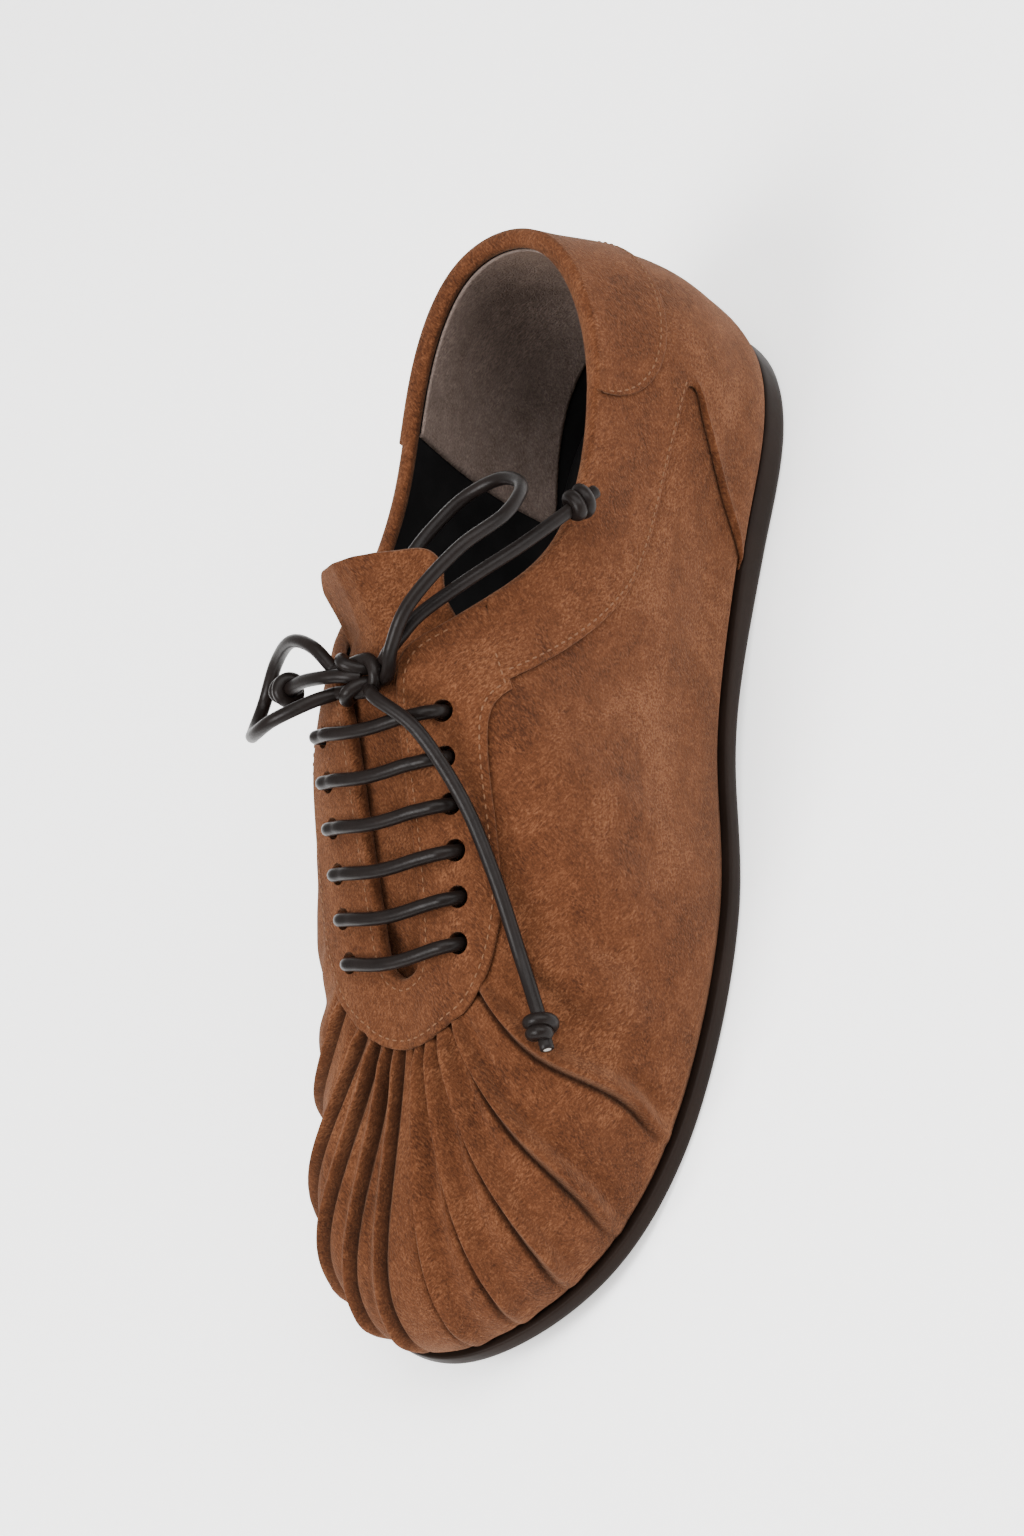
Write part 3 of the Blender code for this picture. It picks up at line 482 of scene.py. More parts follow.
def relief(turn, climb, rise):
    """Height of the suede off the skin, painted shade in its creases and lean of its folds.

    The height is the folds less their creases, low waves and walking creases that fade at the rim and the
    sole, and a swell above the sole less a tuck at the seam.
    """
    fold, groove, lean = pleats(turn, climb)
    round_shoe = 2.0 * np.pi * turn
    up = climb * PROFILE_LENGTH
    waves = 0.22 * np.sin(4.0 * round_shoe + 1.3) * np.sin(up / 17.0 + 0.4)
    waves = waves + 0.12 * np.sin(10.0 * round_shoe + up / 13.0)
    soft = (waves + creases(turn, climb)) * (1.0 - smooth(0.86, 0.98, climb)) * smooth(0.0, 0.12, climb)
    swell = 0.90 * smooth(0.0, 0.03, climb) * (1.0 - smooth(0.05, 0.22, climb))
    tuck = 0.35 * (1.0 - smooth(0.0, 0.02, climb))
    return rise * fold - GROOVE_DEPTH * groove + soft + (swell - tuck), groove, FOLD_LEAN * lean


# Materials


def shader_tree(name):
    """A new material, its node tree and its shader."""
    made = bpy.data.materials.new(name)
    made.use_nodes = True
    return made, made.node_tree, made.node_tree.nodes["Principled BSDF"]


def coordinates(tree, shift, stretch=(1.0, 1.0, 1.0)):
    """Object coordinates, moved by shift and stretched."""
    source = tree.nodes.new("ShaderNodeTexCoord")
    mapping = tree.nodes.new("ShaderNodeMapping")
    mapping.inputs["Location"].default_value = (shift, 0.37 * shift, 0.71 * shift)
    mapping.inputs["Scale"].default_value = stretch
    tree.links.new(source.outputs["Object"], mapping.inputs["Vector"])
    return mapping.outputs["Vector"]


def noise(tree, vector, scale, detail=3.0, roughness=0.55, distortion=0.0):
    """Noise of a scale, in features for each metre."""
    made = tree.nodes.new("ShaderNodeTexNoise")
    made.inputs["Scale"].default_value = scale
    made.inputs["Detail"].default_value = detail
    made.inputs["Roughness"].default_value = roughness
    made.inputs["Distortion"].default_value = distortion
    tree.links.new(vector, made.inputs["Vector"])
    return made.outputs["Fac"]


def ramp(tree, value, low, high, to_low=0.0, to_high=1.0):
    """The value from low to high, stretched to run from to_low to to_high."""
    made = tree.nodes.new("ShaderNodeMapRange")
    made.inputs["From Min"].default_value = low
    made.inputs["From Max"].default_value = high
    made.inputs["To Min"].default_value = to_low
    made.inputs["To Max"].default_value = to_high
    tree.links.new(value, made.inputs["Value"])
    return made.outputs["Result"]


def blend(tree, share, first, second, mode="MIX"):
    """Two colours mixed by share, each a link or a fixed colour."""
    made = tree.nodes.new("ShaderNodeMix")
    made.data_type = "RGBA"
    made.blend_type = mode
    for socket, value in ((made.inputs[0], share), (made.inputs[6], first), (made.inputs[7], second)):
        if isinstance(value, bpy.types.NodeSocket):
            tree.links.new(value, socket)
        elif isinstance(value, float):
            socket.default_value = value
        else:
            socket.default_value = (*value, 1.0)
    return made.outputs[2]


def mark(tree, name):
    """A value that the mesh carries at its points."""
    made = tree.nodes.new("ShaderNodeAttribute")
    made.attribute_name = name
    return made.outputs["Fac"]


def bump(tree, height, strength, distance, under=None):
    """A bump from height, laid on the bump under it."""
    made = tree.nodes.new("ShaderNodeBump")
    made.inputs["Strength"].default_value = strength
    made.inputs["Distance"].default_value = distance
    tree.links.new(height, made.inputs["Height"])
    if under is not None:
        tree.links.new(under, made.inputs["Normal"])
    return made.outputs["Normal"]


def brushed(tree, shift, turn):
    """Short fibres that lie one way: noise drawn out about twice along the turned direction."""
    source = tree.nodes.new("ShaderNodeTexCoord")
    mapping = tree.nodes.new("ShaderNodeMapping")
    mapping.vector_type = "TEXTURE"
    mapping.inputs["Location"].default_value = (shift, 0.53 * shift, 0.19 * shift)
    mapping.inputs["Rotation"].default_value = turn
    mapping.inputs["Scale"].default_value = (2.2, 1.0, 1.0)
    tree.links.new(source.outputs["Object"], mapping.inputs["Vector"])
    return noise(tree, mapping.outputs["Vector"], scale=2300.0, roughness=0.60, distortion=0.5)


def weighed(tree, *parts):
    """Sum of values, each times its weight."""
    total = None
    for value, weight in parts:
        scaled = tree.nodes.new("ShaderNodeMath")
        scaled.operation = "MULTIPLY_ADD"
        scaled.inputs[1].default_value = weight
        tree.links.new(value, scaled.inputs[0])
        if total is None:
            scaled.inputs[2].default_value = 0.0
        else:
            tree.links.new(total, scaled.inputs[2])
        total = scaled.outputs["Value"]
    return total


def tones(tree, value, *stops):
    """A colour read from value between stops, each a place and a colour."""
    made = tree.nodes.new("ShaderNodeValToRGB")
    row = made.color_ramp.elements
    while len(row) < len(stops):
        row.new(0.5)
    for element, (place, colour) in zip(row, stops):
        element.position = place
        element.color = (*colour, 1.0)
    tree.links.new(value, made.inputs["Fac"])
    return made.outputs["Color"]


def tinted(colour, factor):
    """A colour made lighter or darker by a factor, up to white."""
    return tuple(min(1.0, factor * value) for value in colour)


def suede(name, base, dark, light, shift):
    """Brushed suede: fibres lying two ways in patches, soft clouds, a faint sheen and painted crease shade.
    """
    made, tree, shader = shader_tree(name)
    plain = coordinates(tree, shift)
    long = coordinates(tree, shift, (0.6, 1.0, 1.2))
    patches = noise(tree, long, scale=46.0, detail=4.0, roughness=0.6, distortion=0.8)
    spots = noise(tree, plain, scale=330.0, roughness=0.6, distortion=0.5)
    lie = tree.nodes.new("ShaderNodeMix")
    tree.links.new(ramp(tree, patches, 0.42, 0.58), lie.inputs[0])
    tree.links.new(brushed(tree, shift, (0.3, 0.5, 0.7)), lie.inputs[2])
    tree.links.new(brushed(tree, shift + 1.3, (-0.4, -0.3, -0.5)), lie.inputs[3])
    fibres = lie.outputs[0]
    # the tones from dark to light stand partly for random tone and partly for painted sheen: nap facing the
    # light is lighter, nap lying away from it darker
    tone = weighed(tree, (fibres, 0.56), (spots, 0.16), (patches, 0.28))
    colour = tones(tree, tone, (0.38, dark), (0.50, base), (0.64, light))
    # painted shade: where the crease mark is high the suede darkens towards a quarter of its dark tone
    painted_crease_shade = tinted(dark, 0.25)
    colour = blend(tree, ramp(tree, mark(tree, "crease"), 0.0, 1.0, to_high=0.88), colour, painted_crease_shade)
    tree.links.new(colour, shader.inputs["Base Color"])
    shader.inputs["Roughness"].default_value = 0.95
    shader.inputs["Specular IOR Level"].default_value = 0.08
    shader.inputs["Sheen Weight"].default_value = 0.13
    shader.inputs["Sheen Roughness"].default_value = 0.5
    shader.inputs["Sheen Tint"].default_value = (0.80, 0.50, 0.33, 1.0)
    rough = bump(tree, spots, strength=0.20, distance=0.0008)
    nap = bump(tree, fibres, strength=0.75, distance=0.0005, under=rough)
    tree.links.new(nap, shader.inputs["Normal"])
    return made


def heel_lining_finish(name, colour):
    """Grey brown suede with lighter and darker patches, partly random tone and partly painted nap sheen as on
    the upper.
    """
    return suede(name, colour, tinted(colour, 0.62), tinted(colour, 1.7), shift=7.7)


def smooth_leather(name, colour, roughness, grain, shift):
    """Smooth leather: small grain, faint clouds and a low gloss."""
    made, tree, shader = shader_tree(name)
    plain = coordinates(tree, shift)
    clouds = noise(tree, plain, scale=90.0)
    pores = noise(tree, plain, scale=grain, roughness=0.6)
    shade = blend(tree, ramp(tree, clouds, 0.40, 0.75, to_high=0.6), colour, tinted(colour, 1.8))
    tree.links.new(shade, shader.inputs["Base Color"])
    gloss = ramp(tree, clouds, 0.3, 0.7, to_low=roughness - 0.06, to_high=roughness + 0.08)
    tree.links.new(gloss, shader.inputs["Roughness"])
    tree.links.new(bump(tree, pores, strength=0.18, distance=0.0002), shader.inputs["Normal"])
    shader.inputs["Specular IOR Level"].default_value = 0.16
    return made


def lace_leather(name, colour, core):
    """Round leather lace: fine cracks along it, a satin gloss and a pale core where it is cut."""
    made, tree, shader = shader_tree(name)
    plain = coordinates(tree, 3.1)
    clouds = noise(tree, plain, scale=160.0, detail=4.0)
    pores = noise(tree, plain, scale=1500.0, roughness=0.65)
    shade = blend(tree, ramp(tree, clouds, 0.38, 0.72, to_high=0.6), colour, tinted(colour, 1.8))
    tree.links.new(blend(tree, mark(tree, "cut"), shade, core), shader.inputs["Base Color"])
    gloss = ramp(tree, pores, 0.3, 0.7, to_low=0.28, to_high=0.42)
    tree.links.new(gloss, shader.inputs["Roughness"])
    tree.links.new(bump(tree, pores, strength=0.20, distance=0.0002), shader.inputs["Normal"])
    shader.inputs["Specular IOR Level"].default_value = 0.10
    return made


def sole_rubber(name, colour):
    """Dark rubber: a satin skin with faint rub marks."""
    made, tree, shader = shader_tree(name)
    plain = coordinates(tree, 5.3)
    clouds = noise(tree, plain, scale=70.0, detail=4.0)
    specks = noise(tree, plain, scale=900.0, detail=2.0)
    shade = blend(tree, ramp(tree, clouds, 0.40, 0.75, to_high=0.55), colour, tinted(colour, 1.7))
    tree.links.new(shade, shader.inputs["Base Color"])
    gloss = ramp(tree, clouds, 0.3, 0.7, to_low=0.40, to_high=0.56)
    tree.links.new(gloss, shader.inputs["Roughness"])
    tree.links.new(bump(tree, specks, strength=0.12, distance=0.0002), shader.inputs["Normal"])
    shader.inputs["Specular IOR Level"].default_value = 0.05
    return made


def plain_finish(name, colour, roughness):
    """Matt finish with faint clouds."""
    made, tree, shader = shader_tree(name)
    clouds = noise(tree, coordinates(tree, 1.0), scale=400.0, detail=2.0)
    tree.links.new(blend(tree, clouds, colour, tinted(colour, 1.12)), shader.inputs["Base Color"])
    shader.inputs["Roughness"].default_value = roughness
    shader.inputs["Specular IOR Level"].default_value = 0.2
    return made


def floor_finish(name, colour):
    """Pale floor, lit a little from below as a light table is."""
    made = plain_finish(name, colour, roughness=0.75)
    shader = made.node_tree.nodes["Principled BSDF"]
    shader.inputs["Emission Color"].default_value = (*colour, 1.0)
    shader.inputs["Emission Strength"].default_value = 0.9
    return made


def finish(context, name):
    """The named finish of the loafer, made when it is first asked for."""
    if name in bpy.data.materials:
        return bpy.data.materials[name]
    colours = context.scene.loafer_colours
    browns = tuple(colours.suede), tuple(colours.suede_dark), tuple(colours.suede_light)
    black = tuple(colours.black_leather)
    makers = {
        "vamp_suede": lambda: suede(name, *browns, shift=0.3),
        "panel_suede": lambda: suede(name, *browns, shift=2.9),
        "tongue_suede": lambda: suede(name, *browns, shift=4.7),
        "heel_lining": lambda: heel_lining_finish(name, tuple(colours.heel_lining)),
        "lining": lambda: smooth_leather(name, black, roughness=0.50, grain=1400.0, shift=1.7),
        "insole_leather": lambda: smooth_leather(name, black, roughness=0.44, grain=900.0, shift=6.1),
        "lace_leather": lambda: lace_leather(name, tuple(colours.lace), tuple(colours.lace_core)),
        "thread": lambda: plain_finish(name, tuple(colours.thread), roughness=0.7),
        "rubber": lambda: sole_rubber(name, tuple(colours.sole)),
        "floor": lambda: floor_finish(name, tuple(colours.floor)),
    }
    return makers[name]()


# Making pieces


MERGE_DISTANCE = 0.02


def in_frame(points):
    """Millimetres from the back of the sole, as metres in the shoe's frame."""
    return (np.asarray(points, float) - MIDDLE) * MM


def grid_faces(rows, columns, round_rows=False, round_columns=False):
    """Corner numbers of the faces of a grid, which may close on itself either way."""
    index = np.arange(rows * columns).reshape(rows, columns)
    if round_rows:
        index = np.concatenate([index, index[:1]], axis=0)
    if round_columns:
        index = np.concatenate([index, index[:, :1]], axis=1)
    corners = (index[:-1, :-1], index[:-1, 1:], index[1:, 1:], index[1:, :-1])
    return np.stack(corners, axis=-1).reshape(-1, 4)


def make_piece(name, points, faces, finishes, nodes=(), marks=None, picks=None, merge=False):
    """Puts points and faces into a mesh that rides on the shoe and stands for the named solids."""
    mesh = bpy.data.meshes.new(name)
    places = in_frame(points).reshape(-1, 3)
    mesh.vertices.add(len(places))
    mesh.vertices.foreach_set("co", places.ravel())
    mesh.loops.add(faces.size)
    mesh.loops.foreach_set("vertex_index", faces.ravel().astype(np.int32))
    mesh.polygons.add(len(faces))
    mesh.polygons.foreach_set("loop_start", np.arange(0, faces.size, faces.shape[1], dtype=np.int32))
    mesh.update(calc_edges=True)
    for attribute, values in (marks or {}).items():
        mesh.attributes.new(attribute, "FLOAT", "POINT").data.foreach_set("value", np.ravel(values))
    for item in finishes:
        mesh.materials.append(item)
    if picks is not None:
        mesh.polygons.foreach_set("material_index", np.asarray(picks, np.int32))
    if merge:
        form = bmesh.new()
        form.from_mesh(mesh)
        bmesh.ops.remove_doubles(form, verts=form.verts, dist=MERGE_DISTANCE * MM)
        form.to_mesh(mesh)
        form.free()
    mesh.validate()
    mesh.shade_smooth()
    made = bpy.data.objects.new(name, mesh)
    bpy.context.scene.collection.objects.link(made)
    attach(made, "root")
    if nodes:
        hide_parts(*nodes)
    return made


def apply_modifiers(item):
    """Keeps the result of an object's modifiers as its mesh."""
    bpy.context.view_layer.update()
    ready = item.evaluated_get(bpy.context.evaluated_depsgraph_get())
    old = item.data
    item.data = bpy.data.meshes.new_from_object(ready)
    item.modifiers.clear()
    bpy.data.meshes.remove(old)


def thicken(item, wall, back=0):
    """Gives a sheet its wall, grown inward; back picks the inner face's finish from the sheet's list."""
    solid = item.modifiers.new("wall", "SOLIDIFY")
    solid.thickness = wall * MM
    solid.offset = -1.0
    solid.use_even_offset = False
    solid.material_offset = back
    apply_modifiers(item)


# Upper


UPPER_ROWS = 100
LINING_ROWS = 16
RIM_COVER = 1.1
TOE_STEP = 0.42
TOE_MARGIN = 12.0
SIDE_STEP = 1.25
COLUMN_GAP = 0.001


def upper_turns():
    """Places of the upper's columns: close together round the folds of the toe, wider elsewhere."""
    reach = (PLEAT_FEET[-1] + TOE_MARGIN) / EDGE_LENGTH
    toe = np.arange(-reach, reach, TOE_STEP / EDGE_LENGTH) + TURN["toe_tip"]
    sides = np.arange(0.0, 1.0, SIDE_STEP / EDGE_LENGTH)
    clear = (sides < toe[0] - COLUMN_GAP) | (sides > toe[-1] + COLUMN_GAP)
    return np.sort(np.concatenate([toe, sides[clear]]))


def build_upper(context):
    """The upper as a closed ring of walls: suede up the outside, over the rim and leather down the inside."""
    sizes = context.scene.loafer_sizes
    turns = upper_turns()
    top = climb_at_depth(turns, np.full(turns.shape, RIM_COVER))[:, None]
    climb = top * np.linspace(0.0, 1.0, UPPER_ROWS)[None, :]
    turn = np.broadcast_to(turns[:, None], climb.shape)
    height, groove, lean = relief(turn, climb, sizes.pleat_rise / MM)
    outside = lifted(turn + lean, climb, height)
    inner_climb = top * np.linspace(1.0, 0.0, LINING_ROWS)[None, :]
    inside = lifted(turns[:, None], inner_climb, np.full(inner_climb.shape, -sizes.upper_wall / MM))
    points = np.concatenate([outside, inside], axis=1)
    columns = UPPER_ROWS + LINING_ROWS
    faces = grid_faces(len(turns), columns, True, True)
    picks = np.tile((np.arange(columns) >= UPPER_ROWS - 1).astype(int), len(turns))
    # painted shade: the crease mark darkens the suede along the creases of the folds; the lining carries none
    shadow = np.concatenate([groove, np.zeros(inside.shape[:2])], axis=1)
    finishes = (finish(context, "vamp_suede"), finish(context, "lining"))
    return make_piece("suede_upper", points, faces, finishes, ("upper",), {"crease": shadow}, picks)


# Panels


# insets from a panel's cut edge, and its lift there as shares of its wall
EDGE_INSETS = (0.95, 0.55, 0.25, 0.06, 0.0)
EDGE_LIFTS = (1.0, 0.99, 0.92, 0.74, 0.45)
BAND_TOP = 0.7


def panel_marks(points):
    """The mark that the suede's painted crease shade is read from, 0 all over a panel."""
    return {"crease": np.zeros(points.shape[:2])}


def edge_profile(wall):
    """Insets from a cut edge and the panel's lift there: the last millimetre rounds down to half the wall."""
    return np.array(EDGE_INSETS), wall * np.array(EDGE_LIFTS)


def band_below_rim(turns, width, rows, wall):
    """Climb and lift of a band's points, from its rounded outer edge up to just below the rim."""
    inset, edge_lift = edge_profile(wall)
    low = width[:, None]
    flat = BAND_TOP + (low - inset[0] - BAND_TOP) * np.linspace(0.0, 1.0, rows)[None, :]
    depth = np.concatenate([flat, low - inset[1:]], axis=1)[:, ::-1]
    lift = np.concatenate([np.full(rows, wall), edge_lift[1:]])[::-1]
    return climb_at_depth(turns, depth), lift


def make_panel(context, name, points, faces, node, wall, merge=False):
    """A suede panel: a sheet of points, given its wall."""
    finishes = (finish(context, "panel_suede"),)
    made = make_piece(name, points, faces, finishes, (node,), panel_marks(points), merge=merge)
    thicken(made, wall)
    return made


EYESTAY_COLUMNS = 430
EYESTAY_ROWS = 30
EYESTAY_END = 0.0035
# columns on each side that the eyestay's underside is averaged over, and the lowest that it dips
EYESTAY_REACH = 6
EYESTAY_DIP = -0.2


def over_folds(turn, climb, rise):
    """Height of the eyestay's underside: the folds without their creases, averaged over near columns."""
    height, groove, _ = relief(turn, climb, rise)
    padded = np.pad(height + GROOVE_DEPTH * groove, ((EYESTAY_REACH, EYESTAY_REACH), (0, 0)), mode="edge")
    sums = np.cumsum(np.concatenate([np.zeros((1, padded.shape[1])), padded]), axis=0)
    window = 2 * EYESTAY_REACH + 1
    return np.maximum((sums[window:] - sums[:-window]) / window, EYESTAY_DIP)


def eyestay_turns():
    """Places of the eyestay's columns."""
    return np.linspace(TURN["quarter_out"] + EYESTAY_END, TURN["quarter_in"] - EYESTAY_END, EYESTAY_COLUMNS)


def build_eyestay(context):
    """The eyestay: a band from the rim down to its outer edge, lying over the folds of the toe."""
    sizes = context.scene.loafer_sizes
    wall = sizes.panel_wall / MM
    turns = eyestay_turns()
    climb, lift = band_below_rim(turns, eyestay_depth(turns), EYESTAY_ROWS, wall)
    turn = np.broadcast_to(turns[:, None], climb.shape)
    points = lifted(turn, climb, over_folds(turn, climb, sizes.pleat_rise / MM) + lift)
    return make_panel(context, "eyestay_panel", points, grid_faces(*climb.shape), "eyestay", wall)


# Side view of the vamp's wing, between the heel counter and the collar band, in millimetres along and up
WING_LINE = (
    (68.6, 6.6), (60.0, 14.8), (52.0, 22.0), (44.0, 28.2), (40.0, 30.6), (37.6, 32.2), (37.2, 34.0),
    (39.0, 35.2), (43.0, 35.6), (52.0, 35.8), (62.0, 36.2), (72.0, 36.9), (82.0, 38.4), (92.0, 41.3),
    (101.0, 46.0), (109.0, 51.6), (117.0, 58.4), (124.5, 65.6),
)
WING_STEPS = 230
PANEL_STEPS = 26
WING_TIP_SHARE = 0.31
BORDER_TOP = 0.99
# the side view keeps the first and last of a point's three measures
SIDE_VIEW = (0, 2)
NEAR_TURNS = 160
NEAR_CLIMBS = 60
CLOSING_ROUNDS = 8
TURN_STEP_MOST = 0.01
CLIMB_STEP_MOST = 0.1


def from_side_view(places, side):
    """Turn and climb of the skin's points at places seen from the side, by closing in from a near point."""
    low, high = (0.0, TURN["facing_top_out"]) if side > 0 else (TURN["facing_top_in"], 1.0)
    turns = np.linspace(low, high, NEAR_TURNS)
    climbs = np.linspace(0.0, 1.0, NEAR_CLIMBS)
    cloud = skin(turns[:, None], climbs[None, :])[..., SIDE_VIEW].reshape(-1, 2)
    nearest = np.argmin(((places[:, None, :] - cloud[None, :, :]) ** 2).sum(axis=2), axis=1)
    turn = turns[nearest // NEAR_CLIMBS]
    climb = climbs[nearest % NEAR_CLIMBS]
    for _ in range(CLOSING_ROUNDS):
        here = skin(turn, climb)[:, SIDE_VIEW]
        by_turn = (skin(turn + TINY, climb)[:, SIDE_VIEW] - here) / TINY
        by_climb = (skin(turn, climb + TINY)[:, SIDE_VIEW] - here) / TINY
        miss = places - here
        size = by_turn[:, 0] * by_climb[:, 1] - by_turn[:, 1] * by_climb[:, 0]
        turn_step = (miss[:, 0] * by_climb[:, 1] - miss[:, 1] * by_climb[:, 0]) / size
        climb_step = (by_turn[:, 0] * miss[:, 1] - by_turn[:, 1] * miss[:, 0]) / size
        turn = turn + np.clip(turn_step, -TURN_STEP_MOST, TURN_STEP_MOST)
        climb = climb + np.clip(climb_step, -CLIMB_STEP_MOST, CLIMB_STEP_MOST)
    return turn, np.clip(climb, 0.0, 1.0)


def quarter_lines(side):
    """The panel's seam and its far border, as matching rows of turn and climb.

    The border runs back along the sole, up the middle of the heel and forward along the rim to the eyestay.
    """
    seam_turn, seam_climb = from_side_view(smooth_path(WING_LINE, WING_STEPS), side)
    back = 0.0 if side > 0 else 1.0
    front = TURN["quarter_out"] if side > 0 else TURN["quarter_in"]
    sole_start = 0.5 * (seam_turn[0] + back)
    share = np.linspace(0.0, 1.0, WING_STEPS)
    # the border reaches the middle of the heel at the second stop and the rim at the third
    stops = (0.0, 0.6 * WING_TIP_SHARE, WING_TIP_SHARE + 0.10, 1.0)
    far_turn = np.interp(share, stops, (sole_start, back, back, front))
    far_climb = np.interp(share, stops, (0.0, 0.0, BORDER_TOP, BORDER_TOP))
    return seam_turn, seam_climb, far_turn, far_climb


SEAM_STEP = 0.02
SEAM_LEAST = 0.02


def seam_pace(seam_turn, seam_climb, far_turn, far_climb):
    """Share of the way from the seam to the far border that a millimetre takes up at the seam."""
    near_turn = seam_turn + SEAM_STEP * (far_turn - seam_turn)
    near_climb = seam_climb + SEAM_STEP * (far_climb - seam_climb)
    run = np.linalg.norm(skin(near_turn, near_climb) - skin(seam_turn, seam_climb), axis=-1)
    return SEAM_STEP / np.maximum(run, SEAM_LEAST)


WELT_INSETS = (1.4, 1.9, 2.4, 3.0)
WELT_RISE = 0.75
EDGE_SHARE_MOST = 0.9


def build_quarter_panel(context):
    """Heel counter and collar band in one: on both sides, straight runs from the seam to the far border.

    Behind the wing its edge is folded into a welt, an eased rise over 0.9 and an eased fall from 1.3 to 3.
    """
    wall = context.scene.loafer_sizes.panel_wall / MM
    inset, edge_lift = edge_profile(wall)
    inset = np.concatenate([inset[::-1], WELT_INSETS])
    edge_lift = np.concatenate([edge_lift[::-1], np.full(len(WELT_INSETS), wall)])
    welt = WELT_RISE * smooth(0.0, 0.9, inset) * (1.0 - smooth(1.3, 3.0, inset))
    along = np.linspace(0.0, 1.0, WING_STEPS)
    behind = smooth(0.0, 0.06, along) * (1.0 - smooth(WING_TIP_SHARE - 0.05, WING_TIP_SHARE + 0.01, along))
    edge_lift = edge_lift + behind[:, None] * welt[None, :]
    halves = []
    for side in (1, -1):
        lines = [line[:, None] for line in quarter_lines(side)]
        seam_turn, seam_climb, far_turn, far_climb = lines
        start = np.minimum(inset * seam_pace(*lines), EDGE_SHARE_MOST * np.linspace(0.0, 1.0, len(inset)))
        share = start[:, -1:] + (1.0 - start[:, -1:]) * np.linspace(0.0, 1.0, PANEL_STEPS + 1)[1:]
        share = np.concatenate([start, share], axis=1)
        turn = seam_turn + (far_turn - seam_turn) * share
        climb = seam_climb + (far_climb - seam_climb) * share
        lift = np.concatenate([edge_lift, np.full((WING_STEPS, PANEL_STEPS), wall)], axis=1)
        points = lifted(turn, climb, relief(turn, climb, 0.0)[0] + lift)
        halves.append(points if side > 0 else points[::-1])
    points = np.concatenate(halves)
    faces = grid_faces(*halves[0].shape[:2])
    faces = np.concatenate([faces, faces + halves[0].shape[0] * halves[0].shape[1]])
    return make_panel(context, "quarter_suede", points, faces, "quarter_panel", wall, merge=True)


TAB_DEPTH = 24.0
TAB_LEAST = 1.7
TAB_SINK = 0.15
TAB_END = TURN["heel_side_out"] + 0.033
TAB_TIP = 0.998
TAB_COLUMNS = 170
TAB_ROWS = 30


def tab_turns():
    """Places of the heel tab's columns, closer together towards its ends."""
    return TAB_TIP * TAB_END * np.sin(np.linspace(-0.5 * np.pi, 0.5 * np.pi, TAB_COLUMNS))


def tab_depth(turn):
    """Depth of the heel tab: the root of 1 less the fourth power of the share of its half length."""
    return TAB_DEPTH * np.sqrt(np.clip(1.0 - np.abs(turn / TAB_END) ** 4, 0.0, 1.0))


def build_heel_tab(context):
    """The heel tab: a bow from the collar down to a rounded edge, on top of the quarter panel."""
    wall = context.scene.loafer_sizes.panel_wall / MM
    turns = tab_turns()
    climb, lift = band_below_rim(turns, np.maximum(tab_depth(turns), TAB_LEAST), TAB_ROWS, wall)
    turn = np.broadcast_to(turns[:, None], climb.shape)
    points = lifted(turn, climb, relief(turn, climb, 0.0)[0] + lift + wall - TAB_SINK)
    return make_panel(context, "heel_tab_suede", points, grid_faces(*climb.shape), "heel_tab", wall)


RIM_COLUMNS = 720
RIM_ROLL = 13
RIM_START = 0.95
RIM_HEIGHT = 1.15
RIM_OVERHANG = 0.25
# rows that lead from the roll to the panel's face: depth below the rim and sink below that face
RIM_FACE = ((1.9, 0.30), (1.4, 0.04))
# rows that lead from the roll down the lining: depth below the rim and rise towards the wall
RIM_LINING = ((1.7, 0.0), (2.3, 0.25), (2.3, 0.8))
# row inside the wall that closes the section
RIM_BACK_DEPTH = 1.9
RIM_BACK_SINK = 0.9


def build_rim(context):
    """The turned edge of collar and slot: half an oval over the rim, from the panel's face to the lining."""
    sizes = context.scene.loafer_sizes
    wall = sizes.panel_wall / MM
    turns = np.arange(RIM_COLUMNS) / RIM_COLUMNS
    from_back = np.abs(np.mod(turns + 0.5, 1.0) - 0.5)
    on_tab = 1.0 - smooth(TAB_END - 0.0015, TAB_END, from_back)
    over = (wall + (wall - TAB_SINK) * on_tab)[:, None]
    under = -sizes.upper_wall / MM - RIM_OVERHANG
    angle = np.linspace(0.0, np.pi, RIM_ROLL)[None, :]
    roll = 0.5 * (over + under) + 0.5 * (over - under) * np.cos(angle)
    face_depth, face_sink = np.array(RIM_FACE).T
    lining_depth, lining_rise = np.array(RIM_LINING).T
    roll_depth = RIM_START - RIM_HEIGHT * np.sin(angle[0])
    depth = np.concatenate([face_depth, roll_depth, lining_depth, [RIM_BACK_DEPTH]])
    depth = np.tile(depth, (RIM_COLUMNS, 1))
    lining = np.tile(under + lining_rise, (RIM_COLUMNS, 1))
    lift = np.concatenate([over - face_sink, roll, lining, over - RIM_BACK_SINK], axis=1)
    climb = climb_at_depth(turns, depth)[:, ::-1]
    points = lifted(turns[:, None], climb, lift[:, ::-1])
    faces = grid_faces(*climb.shape, True, True)
    finishes = (finish(context, "panel_suede"),)
    return make_piece("turned_edge", points, faces, finishes, marks=panel_marks(points))


# Eyelets


EYELET_ROWS = 6
EYELET_FIRST = 177.0
EYELET_STEP = 8.9
EYELET_DEPTH = 12.0
EYELET_SIDES = 28
EYELET_CORNER = math.radians(50)
PUNCH_LENGTH = 9.0
SLOT_STEPS = 240


def beside_slot(side, depth, along):
    """Turn and climb of one side's points depth below the rim, at the given places along the shoe."""
    turn = np.linspace(TURN["facing_top" + side], TURN["toe_side" + side], SLOT_STEPS)
    reach = skin(turn, climb_at_depth(turn, np.full(turn.shape, depth)))[:, 0]
    order = np.argsort(reach)
    place = np.interp(along, reach[order], turn[order])
    return place, climb_at_depth(place, np.full(place.shape, depth))


def eyelet_rows():
    """Places along the shoe of the rows of eyelets, front first."""
    return EYELET_FIRST - EYELET_STEP * np.arange(EYELET_ROWS)


